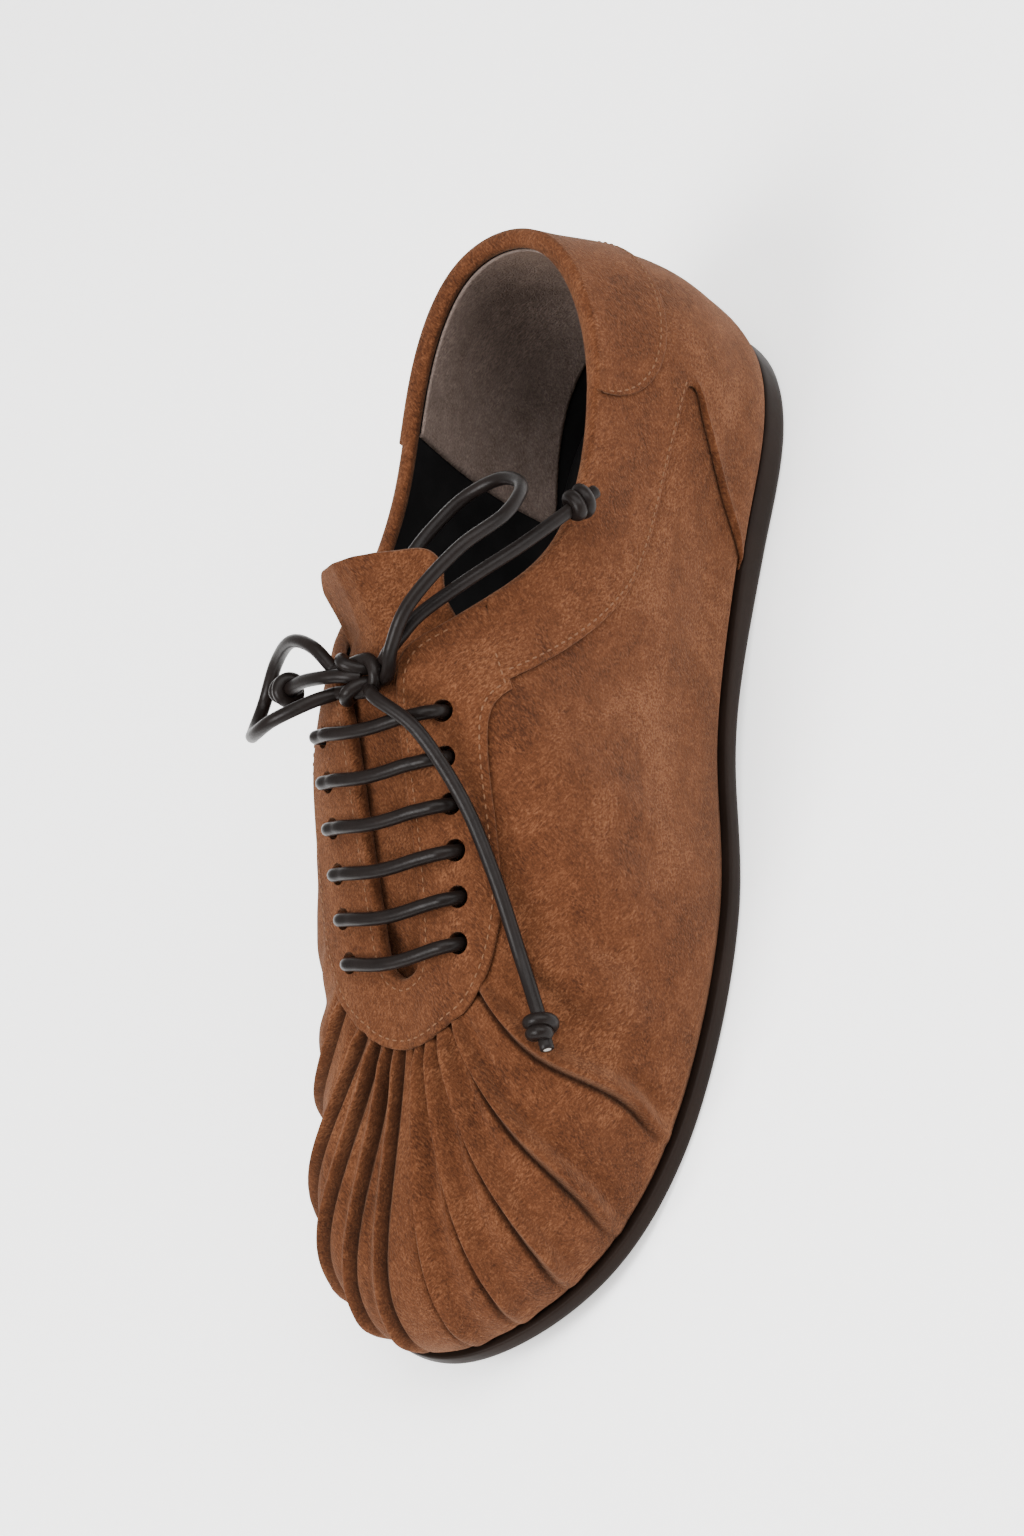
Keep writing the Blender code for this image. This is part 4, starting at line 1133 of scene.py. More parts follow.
def eyelet_punch(radius):
    """A cutter of twelve round pins, each square to the eyestay."""
    mesh = bpy.data.meshes.new("eyelet_punch")
    form = bmesh.new()
    for side in ("_out", "_in"):
        turn, climb = beside_slot(side, EYELET_DEPTH, eyelet_rows())
        for centre, out in zip(in_frame(skin(turn, climb)), skin_out(turn, climb)):
            stand = Vector(out).to_track_quat("Z", "Y").to_matrix().to_4x4()
            stand.translation = Vector(centre)
            bmesh.ops.create_cone(
                form,
                cap_ends=True,
                segments=EYELET_SIDES,
                radius1=radius,
                radius2=radius,
                depth=PUNCH_LENGTH * MM,
                matrix=stand,
            )
    form.to_mesh(mesh)
    form.free()
    made = bpy.data.objects.new("eyelet_punch", mesh)
    bpy.context.scene.collection.objects.link(made)
    return made


def punch_eyelets(context, items):
    """Punches the eyelets through the given pieces."""
    punch = eyelet_punch(context.scene.loafer_sizes.eyelet_radius)
    for item in items:
        trim = item.modifiers.new("eyelets", "BOOLEAN")
        trim.operation = "DIFFERENCE"
        trim.solver = "EXACT"
        trim.object = punch
        apply_modifiers(item)
        item.data.shade_smooth()
        item.data.set_sharp_from_angle(angle=EYELET_CORNER)
    bpy.data.objects.remove(punch)


# Stitches


EYESTAY_UNSEWN = 12
TAB_UNSEWN = 4
SEAM_DEPTH_LEAST = 0.5
TAB_SEAM_LEAST = 1.2


def stitch_rows(sizes):
    """Lines of sewing as points and outward directions: on eyestay, quarter seams and heel tab."""
    wall = sizes.panel_wall / MM
    inset = sizes.stitch_inset / MM
    lines = []
    turns = eyestay_turns()
    outer = np.maximum(eyestay_depth(turns) - inset, SEAM_DEPTH_LEAST)
    inner = np.full(turns.shape, inset + SEAM_DEPTH_LEAST)
    for depth in (outer, inner):
        climb = climb_at_depth(turns, depth)
        height = over_folds(turns[:, None], climb[:, None], sizes.pleat_rise / MM)[:, 0] + wall
        lines.append((turns, climb, height, slice(EYESTAY_UNSEWN, -EYESTAY_UNSEWN)))
    for side in (1, -1):
        seam_turn, seam_climb, far_turn, far_climb = quarter_lines(side)
        share = inset * seam_pace(seam_turn, seam_climb, far_turn, far_climb)
        turn = seam_turn + (far_turn - seam_turn) * share
        climb = seam_climb + (far_climb - seam_climb) * share
        height = relief(turn[:, None], climb[:, None], 0.0)[0][:, 0] + wall
        lines.append((turn, climb, height, slice(int(WING_TIP_SHARE * WING_STEPS), None)))
    turns = tab_turns()[TAB_UNSEWN:-TAB_UNSEWN]
    climb = climb_at_depth(turns, np.maximum(tab_depth(turns) - inset, TAB_SEAM_LEAST))
    height = relief(turns[:, None], climb[:, None], 0.0)[0][:, 0] + 2.0 * wall - TAB_SINK
    lines.append((turns, climb, height, slice(None)))
    return [
        (lifted(turn, climb, height)[sewn], skin_out(turn, climb)[sewn])
        for turn, climb, height, sewn in lines
    ]


# rings of one stitch: place along it and radius, as shares
STITCH_RINGS = ((-0.50, 0.0), (-0.42, 0.70), (-0.20, 1.0), (0.20, 1.0), (0.42, 0.70), (0.50, 0.0))
STITCH_SIDES = 6
STITCH_RADIUS = 0.19
STITCH_SHARE = 0.66
STITCH_AHEAD = 0.4
STITCH_PROUD = 0.06
STITCH_DIVE = 0.27


def build_stitches(context):
    """The sewing: short capped threads with small gaps between, whose ends dive by a cube of the share."""
    sizes = context.scene.loafer_sizes
    pitch = sizes.stitch_pitch / MM
    angle = np.linspace(0.0, 2.0 * np.pi, STITCH_SIDES, endpoint=False)[:, None, None, None]
    place, girth = np.array(STITCH_RINGS).T
    sink = STITCH_PROUD - STITCH_DIVE * np.abs(2.0 * place) ** 3
    stitch = grid_faces(len(place), STITCH_SIDES, False, True)
    blocks, faces, count = [], [], 0
    for line, out in stitch_rows(sizes):
        run = run_lengths(line)
        middle = np.arange(pitch, run[-1] - pitch, pitch)
        spots = read_line(line, run, middle)
        along = unit(read_line(line, run, middle + STITCH_AHEAD) - spots)
        up = read_line(out, run, middle)
        up = unit(up - along * (up * along).sum(axis=1, keepdims=True))
        ring = np.cos(angle) * np.cross(along, up) + np.sin(angle) * up
        ring = ring.transpose(2, 1, 0, 3) * (STITCH_RADIUS * girth)[None, :, None, None]
        body = spots[:, None, :] + along[:, None, :] * (STITCH_SHARE * pitch * place)[None, :, None]
        body = body + up[:, None, :] * sink[None, :, None]
        blocks.append((body[:, :, None, :] + ring).reshape(-1, 3))
        start = count + len(place) * STITCH_SIDES * np.arange(len(spots))
        faces.append((stitch[None, :, :] + start[:, None, None]).reshape(-1, 4))
        count += len(blocks[-1])
    points = np.concatenate(blocks)
    finishes = (finish(context, "thread"),)
    return make_piece("stitches", points, np.concatenate(faces), finishes, merge=True)


# Tongue, linings and insole


TONGUE_LIFT = -2.7
# the section pair that a row lies under; how far it is moved on round the shoe towards the heel; how far its
# edges reach below the rim; rise of its middle
TONGUE_ROWS = (
    ("slot_low", 0.0, 16.0, 0.0),
    ("slot_mid", 0.0, 16.0, 0.0),
    ("slot_top", 0.0, 15.0, 0.2),
    ("facing_top", 0.0, 12.5, 0.6),
    ("facing_top", 0.006, 10.5, 1.2),
    ("facing_top", 0.012, 8.0, 2.6),
    ("facing_turn", 0.0, 7.0, 4.4),
    ("facing_turn", 0.006, 3.6, 7.4),
    ("facing_turn", 0.011, 1.5, 10.6),
)
# rows under the vamp and above the facings: moved along and up, shares of width and height that are kept,
# and the distance that the edges sweep back
TONGUE_FRONT = ((20.0, -13.2, 0.94, 0.94, 0.0), (9.0, -6.1, 0.98, 0.98, 0.0))
TONGUE_TOP = ((-4.0, 4.2, 0.97, 0.92, 0.0), (-7.0, 7.4, 1.10, 0.80, -2.4), (-8.8, 8.9, 1.17, 0.70, -4.4))
TONGUE_CORNER = 0.034
# points of a row: tucked in at a side, over the slot, and in all once they are evenly spaced
TONGUE_SIDE_POINTS = 4
TONGUE_MIDDLE_POINTS = 5
TONGUE_ROW_POINTS = 15
# points along and across the fine grid, and along the sheet that is read from it
TONGUE_FINE = 300
TONGUE_ACROSS = 71
TONGUE_ALONG = 150


def tongue_row(name, shift, tuck, crown):
    """Points across the tongue, inner side first: inside the upper at each side, bowed over the slot."""
    depth = np.linspace(tuck, 0.0, TONGUE_SIDE_POINTS)
    sides = []
    for end, back in (("_in", shift), ("_out", -shift)):
        turn = np.full(depth.shape, TURN[name + end] + back)
        sides.append(lifted(turn, climb_at_depth(turn, depth), np.full(depth.shape, TONGUE_LIFT)))
    inner, outer = sides[0], sides[1][::-1]
    share = np.linspace(0.0, 1.0, TONGUE_MIDDLE_POINTS + 2)[1:-1, None]
    middle = inner[-1] + (outer[0] - inner[-1]) * share
    middle[:, 2] += crown * (1.0 - (2.0 * share[:, 0] - 1.0) ** 2) ** 1.5
    return np.concatenate([inner, middle, outer])


def moved(row, shift):
    """A copy of a row, moved and scaled about its middle, its edges swept back by the square of y."""
    along, up, wide, tall, sweep = shift
    centre = row[len(row) // 2]
    copy = centre + (row - centre) * (1.0, wide, tall) + (along, 0.0, up)
    from_middle = np.abs(row[:, 1] - centre[1]) / np.abs(row[:, 1] - centre[1]).max()
    copy[:, 0] += sweep * from_middle**2
    return copy


def resampled(grid, count):
    """A grid of points made finer along its first side by soft cubic curves."""
    flat = grid.reshape(len(grid), -1)
    return smooth_path(flat, count).reshape(count, *grid.shape[1:])


def build_tongue(context):
    """The tongue: rows across the slot joined by soft curves both ways, with suede on top and leather below.

    Its top corners are rounded: a column grows shorter by the eighth power of its distance from the middle.
    """
    rows = [tongue_row(*line) for line in TONGUE_ROWS]
    front = [moved(rows[0], shift) for shift in TONGUE_FRONT]
    top = [moved(rows[-1], shift) for shift in TONGUE_TOP]
    grid = resampled(np.array([evened(row, TONGUE_ROW_POINTS) for row in front + rows + top]), TONGUE_FINE)
    grid = resampled(grid.transpose(1, 0, 2), TONGUE_ACROSS)
    reach = 1.0 - TONGUE_CORNER * np.linspace(-1.0, 1.0, TONGUE_ACROSS) ** 8
    place = (TONGUE_FINE - 1.01) * reach[:, None] * np.linspace(0.0, 1.0, TONGUE_ALONG)[None, :]
    below = place.astype(int)
    column = np.arange(TONGUE_ACROSS)[:, None]
    share = (place - below)[..., None]
    grid = (grid[column, below] * (1.0 - share) + grid[column, below + 1] * share).transpose(1, 0, 2)
    faces = grid_faces(*grid.shape[:2])
    finishes = (finish(context, "tongue_suede"), finish(context, "lining"))
    made = make_piece("tongue_suede_sheet", grid, faces, finishes, ("tongue",), panel_marks(grid))
    thicken(made, context.scene.loafer_sizes.tongue_wall / MM, back=1)
    return made


HEEL_LINING_END = 0.105
HEEL_LINING_COLUMNS = 120
HEEL_LINING_ROWS = 60
HEEL_LINING_FOOT = 52.0
HEEL_LINING_TOP = 2.4
HEEL_LINING_CLIMB = 0.03
HEEL_LINING_LIFT = -2.0
HEEL_LINING_STEP = 0.55
HEEL_LINING_WALL = 0.5


def build_heel_lining(context):
    """Grey suede inside the heel: a sheet just inside the wall, from below the collar down to the insole."""
    turns = np.linspace(-HEEL_LINING_END, HEEL_LINING_END, HEEL_LINING_COLUMNS)
    depth = np.linspace(HEEL_LINING_FOOT, HEEL_LINING_TOP, HEEL_LINING_ROWS)
    climb = climb_at_depth(turns, np.tile(depth, (HEEL_LINING_COLUMNS, 1)))
    climb = np.maximum(climb, HEEL_LINING_CLIMB)
    edge = (HEEL_LINING_END - np.abs(turns))[:, None] * EDGE_LENGTH
    lift = HEEL_LINING_LIFT - HEEL_LINING_STEP * smooth(0.0, 0.8, edge) * np.ones_like(climb)
    points = lifted(turns[:, None], climb, lift)
    faces = grid_faces(*climb.shape)[:, ::-1]
    finishes = (finish(context, "heel_lining"),)
    made = make_piece("heel_lining_sheet", points, faces, finishes, marks=panel_marks(points))
    thicken(made, HEEL_LINING_WALL)
    return made


# middle line of the sole, along and to the outer side
SPINE = ((32.0, 0.0), (100.0, 1.0), (175.0, -1.0), (212.0, -4.0))


def edge_ring(outset, count):
    """The sole's edge in plan, moved outward by outset, with the matching points of the spine."""
    turn = np.arange(count) / count
    edge = closed_spline(KNOTS, SECTION_VALUES[:, :2], turn) - outset * edge_inward(turn)
    along, across = np.array(SPINE).T
    spine_x = np.clip(edge[:, 0], along[0], along[-1])
    spine_y = np.interp(spine_x, along, across)
    return edge, np.stack([spine_x, spine_y], axis=-1)


def plate_points(count, outset, edge_steps, shares, bottom, top):
    """A plate of the sole's outline, as rings: out along the underside, up the edge and in over the top."""
    rings = []
    base, spine = edge_ring(outset + edge_steps[0][0], count)
    for share in reversed(shares):
        plan = spine + (base - spine) * share
        rings.append(np.column_stack([plan, bottom(plan[:, 0], share)]))
    for step_out, share in edge_steps:
        plan, _ = edge_ring(outset + step_out, count)
        low, high = bottom(plan[:, 0], 1.0), top(plan[:, 0], 1.0)
        rings.append(np.column_stack([plan, low + (high - low) * share]))
    crown, spine = edge_ring(outset + edge_steps[-1][0], count)
    for share in shares:
        plan = spine + (crown - spine) * share
        rings.append(np.column_stack([plan, top(plan[:, 0], share)]))
    return np.array(rings).transpose(1, 0, 2)


PLATE_CORNER = math.radians(40)


def close_ends(item):
    """Fills the two thin openings that a plate's rings leave along its spine."""
    form = bmesh.new()
    form.from_mesh(item.data)
    ends = [edge for edge in form.edges if edge.is_boundary]
    caps = bmesh.ops.holes_fill(form, edges=ends, sides=0)["faces"]
    bmesh.ops.triangulate(form, faces=caps)
    bmesh.ops.recalc_face_normals(form, faces=form.faces)
    form.to_mesh(item.data)
    form.free()
    item.data.shade_smooth()
    item.data.set_sharp_from_angle(angle=PLATE_CORNER)


def make_plate(context, name, points, look, node):
    """A plate made from its rings and closed along the spine."""
    faces = grid_faces(*points.shape[:2], True)
    made = make_piece(name, points, faces, (finish(context, look),), (node,))
    close_ends(made)
    return made


# edges as steps: distance outward and share of the way from the underside to the top
SOLE_EDGE = (
    (-1.6, 0.0), (-0.9, 0.02), (-0.45, 0.07), (-0.15, 0.15), (0.0, 0.28), (0.03, 0.45), (0.0, 0.62),
    (-0.05, 0.76), (-0.10, 0.86), (-0.22, 0.93), (-0.45, 0.98), (-0.8, 1.0),
)
INSOLE_EDGE = ((0.0, 0.0), (0.0, 0.55), (-0.25, 0.85), (-0.8, 1.0))
# rings of a plate's two faces, as shares of the way from the spine to the edge
PLATE_SHARES = (0.93, 0.82, 0.66, 0.48, 0.30, 0.12)
SOLE_COLUMNS = 460
INSOLE_COLUMNS = 300
INSOLE_INSET = 2.3
INSOLE_WALL = 2.0
INSOLE_DISH = 0.9


def build_sole(context):
    """The rubber sole: a rounded lower edge, an upright side and a narrow ledge under the upper."""

    def under(x, share):
        """Height of the underside, the same all the way to the edge."""
        return sole_bottom(x)

    def over(x, share):
        """Height of the top, the same all the way to the edge."""
        return sole_top(x)

    points = plate_points(SOLE_COLUMNS, SOLE_MARGIN, SOLE_EDGE, PLATE_SHARES, under, over)
    return make_plate(context, "rubber_sole", points, "rubber", "outsole")


def build_insole(context):
    """The leather sock: a thin plate that dishes a little towards the middle of the heel."""

    def under(x, share):
        """Height of the underside, just off the sole."""
        return sole_top(x) + SEAT_GAP

    def over(x, share):
        """Height of the top, lower towards the spine and the heel."""
        dish = INSOLE_DISH * (1.0 - smooth(60.0, 120.0, x)) * (1.0 - smooth(0.1, 0.95, share))
        return sole_top(x) + SEAT_GAP + INSOLE_WALL - dish

    points = plate_points(INSOLE_COLUMNS, -INSOLE_INSET, INSOLE_EDGE, PLATE_SHARES, under, over)
    return make_plate(context, "leather_insole", points, "insole_leather", "insole")


# Laces


TUBE_SIDES = 18
# a cut end: rings on its face as shares of the radius, and how far that face stands out
CAP_SHARES = (0.92, 0.62, 0.46, 0.0)
CAP_DOME = 0.12


def tube(path, radius, core=0.0):
    """A round tube along a path: rings square to it, carried along without twist, and raised cut ends.

    The last end shows its core by the share given.
    """
    path = np.asarray(path, float)
    along = unit(np.gradient(path, axis=0))
    side = np.zeros_like(path)
    start = np.cross(along[0], (0.3, 0.2, 1.0))
    side[0] = start / np.linalg.norm(start)
    for i in range(1, len(path)):
        carried = side[i - 1] - along[i] * np.dot(side[i - 1], along[i])
        side[i] = carried / np.linalg.norm(carried)
    other = np.cross(along, side)
    angle = np.linspace(0.0, 2.0 * np.pi, TUBE_SIDES, endpoint=False)[None, :, None]
    rings = path[:, None, :] + radius * (np.cos(angle) * side[:, None, :] + np.sin(angle) * other[:, None, :])
    cut = np.zeros((len(path) + 2 * len(CAP_SHARES), TUBE_SIDES))
    cut[-2:] = core
    ends = []
    for at, way in ((0, -1.0), (-1, 1.0)):
        hub = path[at] + along[at] * way * CAP_DOME
        steps = [hub + (rings[at] - path[at]) * share for share in CAP_SHARES]
        ends.append(np.array(steps[::-1] if way < 0 else steps))
    return np.concatenate([ends[0], rings, ends[1]]), cut


def make_cord(context, name, path, nodes=(), grow=1.0, core=0.0):
    """A length of lace along a path in millimetres."""
    rings, cut = tube(path, grow * context.scene.loafer_sizes.lace_radius / MM, core)
    faces = grid_faces(*rings.shape[:2], False, True)[:, ::-1]
    finishes = (finish(context, "lace_leather"),)
    return make_piece(name, rings, faces, finishes, nodes, {"cut": cut}, merge=True)


BAR_LIFT = 3.45
BAR_BEND = 3.2
BAR_ANGLES = (0, 22, 45, 68, 90)
BAR_DEPTHS = (6.0, 1.0)
BAR_END = -1.7
BAR_SLACK = 2.6
BAR_POINTS = 70


def bar_half(side, along):
    """Half a bar at each row: out of the eyelet, round its edge and along the eyestay to the slot."""
    turn, climb = beside_slot(side, EYELET_DEPTH, along)
    hole, out = skin(turn, climb), skin_out(turn, climb)
    lift = np.full(len(along), BAR_LIFT)
    near, edge = (lifted(*beside_slot(side, depth, along), lift) for depth in BAR_DEPTHS)
    across = near - hole
    across = unit(across - out * np.sum(across * out, axis=1, keepdims=True))
    points = [hole + out * BAR_END]
    for angle in np.radians(BAR_ANGLES):
        turned = BAR_BEND * (1.0 - math.cos(angle))
        points.append(hole + across * turned + out * (BAR_LIFT - BAR_BEND * (1.0 - math.sin(angle))))
    return np.array(points + [near, edge]).transpose(1, 0, 2)


def build_lace_bars(context):
    """Six bars of lace, each from eyelet to eyelet across the slot and bowed a little towards the toe."""
    halves = zip(bar_half("_out", eyelet_rows()), bar_half("_in", eyelet_rows()))
    for i, (outer, inner) in enumerate(halves):
        path = smooth_path(np.concatenate([outer, inner[::-1]]), BAR_POINTS)
        path[:, 0] += BAR_SLACK * np.sin(np.linspace(0.0, np.pi, BAR_POINTS)) ** 1.6
        make_cord(context, f"lace_bar_{i + 1}_leather", path, (f"lace_bar_{i + 1}",))


KNOT = np.array((125.6, 0.0, 81.2))
# the knot's own directions: to the outer side, up the slot, and off the shoe
KNOT_AXES = np.array(((0.0, 1.0, 0.0), (-0.90, 0.0, 0.44), (0.44, 0.0, 0.90)))
KNOT_RIGHT_BIGHT = (
    (-7.4, 2.3, 0.4), (-3.4, 2.7, 0.6), (0.4, 3.3, 0.5), (3.4, 2.9, 0.7), (5.0, 0.0, 1.3), (3.4, -2.9, 0.7),
    (0.4, -3.3, 0.5), (-3.4, -2.7, 0.6), (-7.4, -2.3, 0.4),
)
KNOT_LEFT_BIGHT = (
    (3.4, 1.6, -1.5), (2.2, 1.6, -0.6), (0.6, 1.7, 1.4), (-2.0, 3.1, 3.0), (-4.3, 4.3, 0.9),
    (-4.8, 2.2, -2.2), (-4.8, -2.2, -2.2), (-4.3, -4.3, 0.9), (-2.0, -3.1, 3.0), (0.6, -1.7, 1.4),
    (2.2, -1.6, -0.6), (3.4, -1.6, -1.5),
)
# free cords as points from the knot, in millimetres along, to the outer side and up
FREE_CORDS = {
    "lace_loop_left": (
        (2.2, -7.4, -0.7), (5.2, -11.5, 2.6), (8.8, -20.0, 4.4), (8.8, -29.0, 0.8), (4.2, -36.6, -5.4),
        (-4.5, -38.5, -8.2), (-11.0, -32.0, -3.4), (-11.4, -22.0, 2.4), (-7.6, -13.0, 4.0), (-2.2, -7.4, 1.4),
    ),
    "lace_loop_right": (
        (0.8, 3.2, -1.9), (1.1, 6.0, -1.0), (0.7, 8.8, 1.0), (-2.4, 12.6, 5.0), (-10.0, 18.6, 8.0),
        (-22.0, 27.4, 5.9), (-32.0, 33.2, 0.2), (-41.5, 31.4, -4.6), (-46.6, 22.6, -6.9),
        (-44.0, 12.8, -6.6), (-36.0, 6.2, -4.7), (-28.0, 3.0, -2.6), (-19.6, 2.0, 1.0),
    ),
    "lace_end_upper": (
        (-2.1, 3.2, -0.6), (-2.3, 6.0, 0.4), (-3.2, 9.0, 2.2), (-6.0, 12.6, 3.0), (-11.0, 16.4, 2.1),
        (-20.0, 23.6, -2.6), (-30.0, 30.0, -9.2), (-40.0, 34.5, -15.7), (-47.4, 37.1, -20.6),
    ),
    "lace_end_left": (
        (0.4, 0.4, 0.8), (0.7, -1.6, 2.2), (0.5, -4.2, 3.0), (0.2, -9.0, 3.3), (-0.9, -16.0, 1.9),
        (-1.8, -22.6, -0.9), (-2.6, -29.0, -4.3),
    ),
}
LOWER_END_START = ((2.6, 1.8, -1.0), (4.6, 4.2, 0.5), (7.4, 7.6, 1.5))
# the lower end's way over the shoe: section, shift on from it, depth below the rim and lift off the skin
LOWER_END = (
    ("slot_top_out", 0.006, 9.0, 7.2),
    ("slot_mid_out", -0.006, 17.0, 4.6),
    ("slot_mid_out", 0.016, 22.5, 3.7),
    ("slot_low_out", 0.000, 28.5, 2.7),
    ("slot_low_out", 0.016, 34.0, 5.2),
    ("slot_low_out", 0.028, 38.0, 7.2),
)
FREE_POINTS = 90
STUB = 5.2
STOPPER_TURNS = 1.75
STOPPER_PITCH = 2.6
STOPPER_RADIUS = 2.25
STOPPER_CORE = 0.8
STOPPER_DIVE = 0.22
STOPPER_GROW = 1.04
STOPPER_POINTS = 90
KNOT_POINTS = 120


def lower_end():
    """The long end that lies forward over the eyestay and the outer side of the vamp."""
    points = list(KNOT + np.array(LOWER_END_START))
    for name, shift, depth, lift in LOWER_END:
        turn = np.array([TURN[name] + shift])
        points.append(lifted(turn, climb_at_depth(turn, np.array([depth])), np.array([lift]))[0])
    return points


def stopper(path):
    """The stopper knot near a lace's end: a helix wound tightly round it, whose ends dive into the lace."""
    angle = np.linspace(0.0, 2.0 * np.pi * STOPPER_TURNS, STOPPER_POINTS)
    turns = angle / (2.0 * np.pi)
    from_end = STUB + STOPPER_PITCH * (turns - 0.5 * STOPPER_TURNS)
    centre = read_line(path[::-1], run_lengths(path[::-1]), from_end)
    along = unit(np.gradient(centre, axis=0))
    side = unit(np.cross(along, (0.0, 0.0, 1.0)))
    up = np.cross(side, along)
    proud = smooth(0.0, STOPPER_DIVE, turns) * smooth(0.0, STOPPER_DIVE, STOPPER_TURNS - turns)
    reach = (STOPPER_CORE + (STOPPER_RADIUS - STOPPER_CORE) * proud)[:, None]
    return centre + reach * (np.cos(angle)[:, None] * side + np.sin(angle)[:, None] * up)


def build_knot(context):
    """The knot: two linked bights of lace, joined into one piece."""
    radius = context.scene.loafer_sizes.lace_radius / MM
    rings, cuts, faces, count = [], [], [], 0
    for bight in (KNOT_RIGHT_BIGHT, KNOT_LEFT_BIGHT):
        ring, cut = tube(smooth_path(KNOT + np.array(bight) @ KNOT_AXES, KNOT_POINTS), radius)
        faces.append(grid_faces(*ring.shape[:2], False, True)[:, ::-1] + count)
        count += ring.shape[0] * ring.shape[1]
        rings.append(ring.reshape(-1, 3))
        cuts.append(cut.ravel())
    points = np.concatenate(rings)
    corners = np.concatenate(faces)
    marks = {"cut": np.concatenate(cuts)}
    finishes = (finish(context, "lace_leather"),)
    return make_piece("lace_knot_leather", points, corners, finishes, ("lace_knot",), marks, merge=True)


def build_bow(context):
    """The bow: its knot, the loops and the ends, each end with its stopper knot."""
    knot = build_knot(context)
    paths = {name: smooth_path(KNOT + np.array(points), FREE_POINTS) for name, points in FREE_CORDS.items()}
    paths["lace_end_lower"] = smooth_path(lower_end(), FREE_POINTS)
    for name, path in paths.items():
        made = make_cord(context, name + "_leather", path, (name,), core=float("end" in name))
        carried = []
        if name.startswith("lace_end"):
            ring = name.replace("end", "stopper")
            carried = [make_cord(context, ring + "_leather", stopper(path), (ring,), STOPPER_GROW)]
        if name == "lace_loop_left":
            carried = [knot]


# Stage


CAMERA_WAY = (0.41, 0.66, 0.63)
CAMERA_TARGET = (0.002, 0.004, 0.036)
CAMERA_LENS = 125.0
CAMERA_SENSOR = 36.0
FLOOR_HALF = 4.0
# each light's name, place, power in watts and width
LIGHTS = (
    ("light_key", (0.95, -0.35, 1.25), 44.0, 0.85),
    ("light_above", (-0.2, 0.6, 1.6), 32.0, 1.4),
    ("light_side", (-0.4, 1.5, 0.9), 22.0, 1.0),
)
LIGHT_TARGET = (0.0, 0.0, 0.04)
SKY_COLOUR = (1.0, 0.99, 0.98, 1.0)
SKY_STRENGTH = 0.72


def build_floor(context):
    """A wide pale floor under the shoe."""
    corners = [(x * FLOOR_HALF, y * FLOOR_HALF, 0.0) for x, y in ((-1, -1), (1, -1), (1, 1), (-1, 1))]
    mesh = bpy.data.meshes.new("floor")
    mesh.from_pydata(corners, [], [(0, 1, 2, 3)])
    mesh.materials.append(finish(context, "floor"))
    floor = bpy.data.objects.new("floor", mesh)
    context.scene.collection.objects.link(floor)


def build_lights(context):
    """A key light from the front, soft light from above and the side, and a pale sky."""
    for name, place, power, width in LIGHTS:
        lamp = bpy.data.lights.new(name, "AREA")
        lamp.energy = power
        lamp.size = width
        item = bpy.data.objects.new(name, lamp)
        item.location = place
        item.rotation_euler = (Vector(LIGHT_TARGET) - Vector(place)).to_track_quat("-Z", "Y").to_euler()
        context.scene.collection.objects.link(item)
    world = bpy.data.worlds.new("studio")
    world.use_nodes = True
    sky = world.node_tree.nodes["Background"]
    sky.inputs["Color"].default_value = SKY_COLOUR
    sky.inputs["Strength"].default_value = SKY_STRENGTH
    context.scene.world = world


def build_camera(context):
    """The camera, on a line from its target and rolled about that line."""
    sizes = context.scene.loafer_sizes
    lens = bpy.data.cameras.new("camera")
    lens.lens = CAMERA_LENS
    lens.sensor_fit = "VERTICAL"
    lens.sensor_height = CAMERA_SENSOR
    camera = bpy.data.objects.new("camera", lens)
    way = Vector(CAMERA_WAY).normalized()
    place = Matrix.Translation(Vector(CAMERA_TARGET) + way * sizes.camera_distance)
    look = (-way).to_track_quat("-Z", "Y").to_matrix().to_4x4()
    camera.matrix_world = place @ look @ Matrix.Rotation(-sizes.camera_roll, 4, "Z")
    context.scene.collection.objects.link(camera)
    context.scene.camera = camera


# Operators and panel


class LOAFER_OT_upper(bpy.types.Operator):
    """Builds the suede upper, its panels and turned edge, and punches the eyelets."""

    bl_idname = "loafer.upper"
    bl_label = "Upper and panels"

    def execute(self, context):
        upper = build_upper(context)
        eyestay = build_eyestay(context)
        build_quarter_panel(context)
        build_heel_tab(context)
        build_rim(context)
        punch_eyelets(context, (upper, eyestay))
        return {"FINISHED"}


class LOAFER_OT_stitches(bpy.types.Operator):
    """Sews the panels."""

    bl_idname = "loafer.stitches"
    bl_label = "Stitches"

    def execute(self, context):
        build_stitches(context)
        return {"FINISHED"}


class LOAFER_OT_inside(bpy.types.Operator):
    """Builds the tongue, the heel lining and the insole."""

    bl_idname = "loafer.inside"
    bl_label = "Tongue, lining and insole"

    def execute(self, context):
        build_tongue(context)
        build_heel_lining(context)
        build_insole(context)
        return {"FINISHED"}


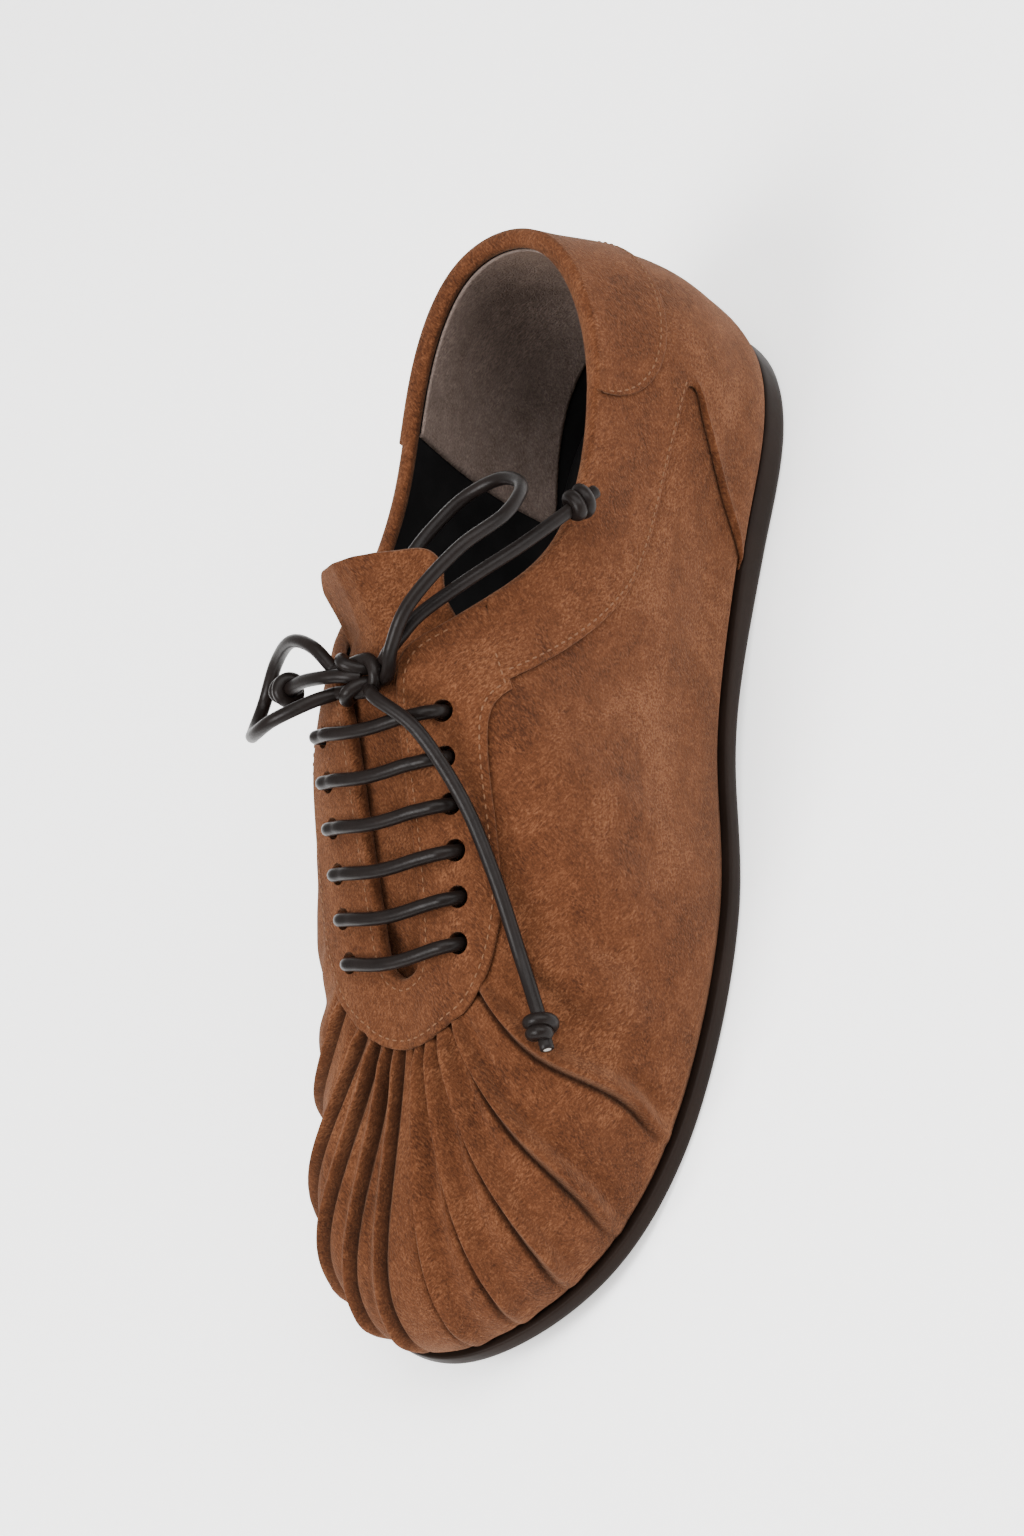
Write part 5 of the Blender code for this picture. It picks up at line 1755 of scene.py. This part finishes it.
class LOAFER_OT_sole(bpy.types.Operator):
    """Builds the rubber sole."""

    bl_idname = "loafer.sole"
    bl_label = "Sole"

    def execute(self, context):
        build_sole(context)
        return {"FINISHED"}


class LOAFER_OT_lace(bpy.types.Operator):
    """Builds the bars of the lace and its bow."""

    bl_idname = "loafer.lace"
    bl_label = "Lace"

    def execute(self, context):
        build_lace_bars(context)
        build_bow(context)
        return {"FINISHED"}


class LOAFER_OT_stage(bpy.types.Operator):
    """Builds the floor, the lights and the camera."""

    bl_idname = "loafer.stage"
    bl_label = "Stage"

    def execute(self, context):
        build_floor(context)
        build_lights(context)
        build_camera(context)
        return {"FINISHED"}


OPERATORS = (
    LOAFER_OT_stage, LOAFER_OT_lace, LOAFER_OT_upper, LOAFER_OT_stitches, LOAFER_OT_inside, LOAFER_OT_sole,
)


class LOAFER_PT_pieces(bpy.types.Panel):
    """Lists the loafer's pieces."""

    bl_idname = "LOAFER_PT_pieces"
    bl_label = "Laced loafer"
    bl_space_type = "VIEW_3D"
    bl_region_type = "UI"
    bl_category = "Loafer"

    def draw(self, context):
        for group in (context.scene.loafer_sizes, context.scene.loafer_colours):
            for name in group.__annotations__:
                self.layout.prop(group, name)
        for operator in OPERATORS:
            self.layout.operator(operator.bl_idname)


CLASSES = (LoaferSizes, LoaferColours, *OPERATORS, LOAFER_PT_pieces)


def register():
    """Makes the loafer's properties, operators and panel known."""
    for item in CLASSES:
        bpy.utils.register_class(item)
    bpy.types.Scene.loafer_sizes = PointerProperty(type=LoaferSizes)
    bpy.types.Scene.loafer_colours = PointerProperty(type=LoaferColours)


def unregister():
    """Takes them away again."""
    del bpy.types.Scene.loafer_colours
    del bpy.types.Scene.loafer_sizes
    for item in reversed(CLASSES):
        bpy.utils.unregister_class(item)


def main():
    """Builds the whole loafer on its stage."""
    register()
    bpy.ops.loafer.stage()
    bpy.ops.loafer.lace()
    bpy.ops.loafer.upper()
    bpy.ops.loafer.stitches()
    bpy.ops.loafer.inside()
    bpy.ops.loafer.sole()


if __name__ == "__main__":
    main()
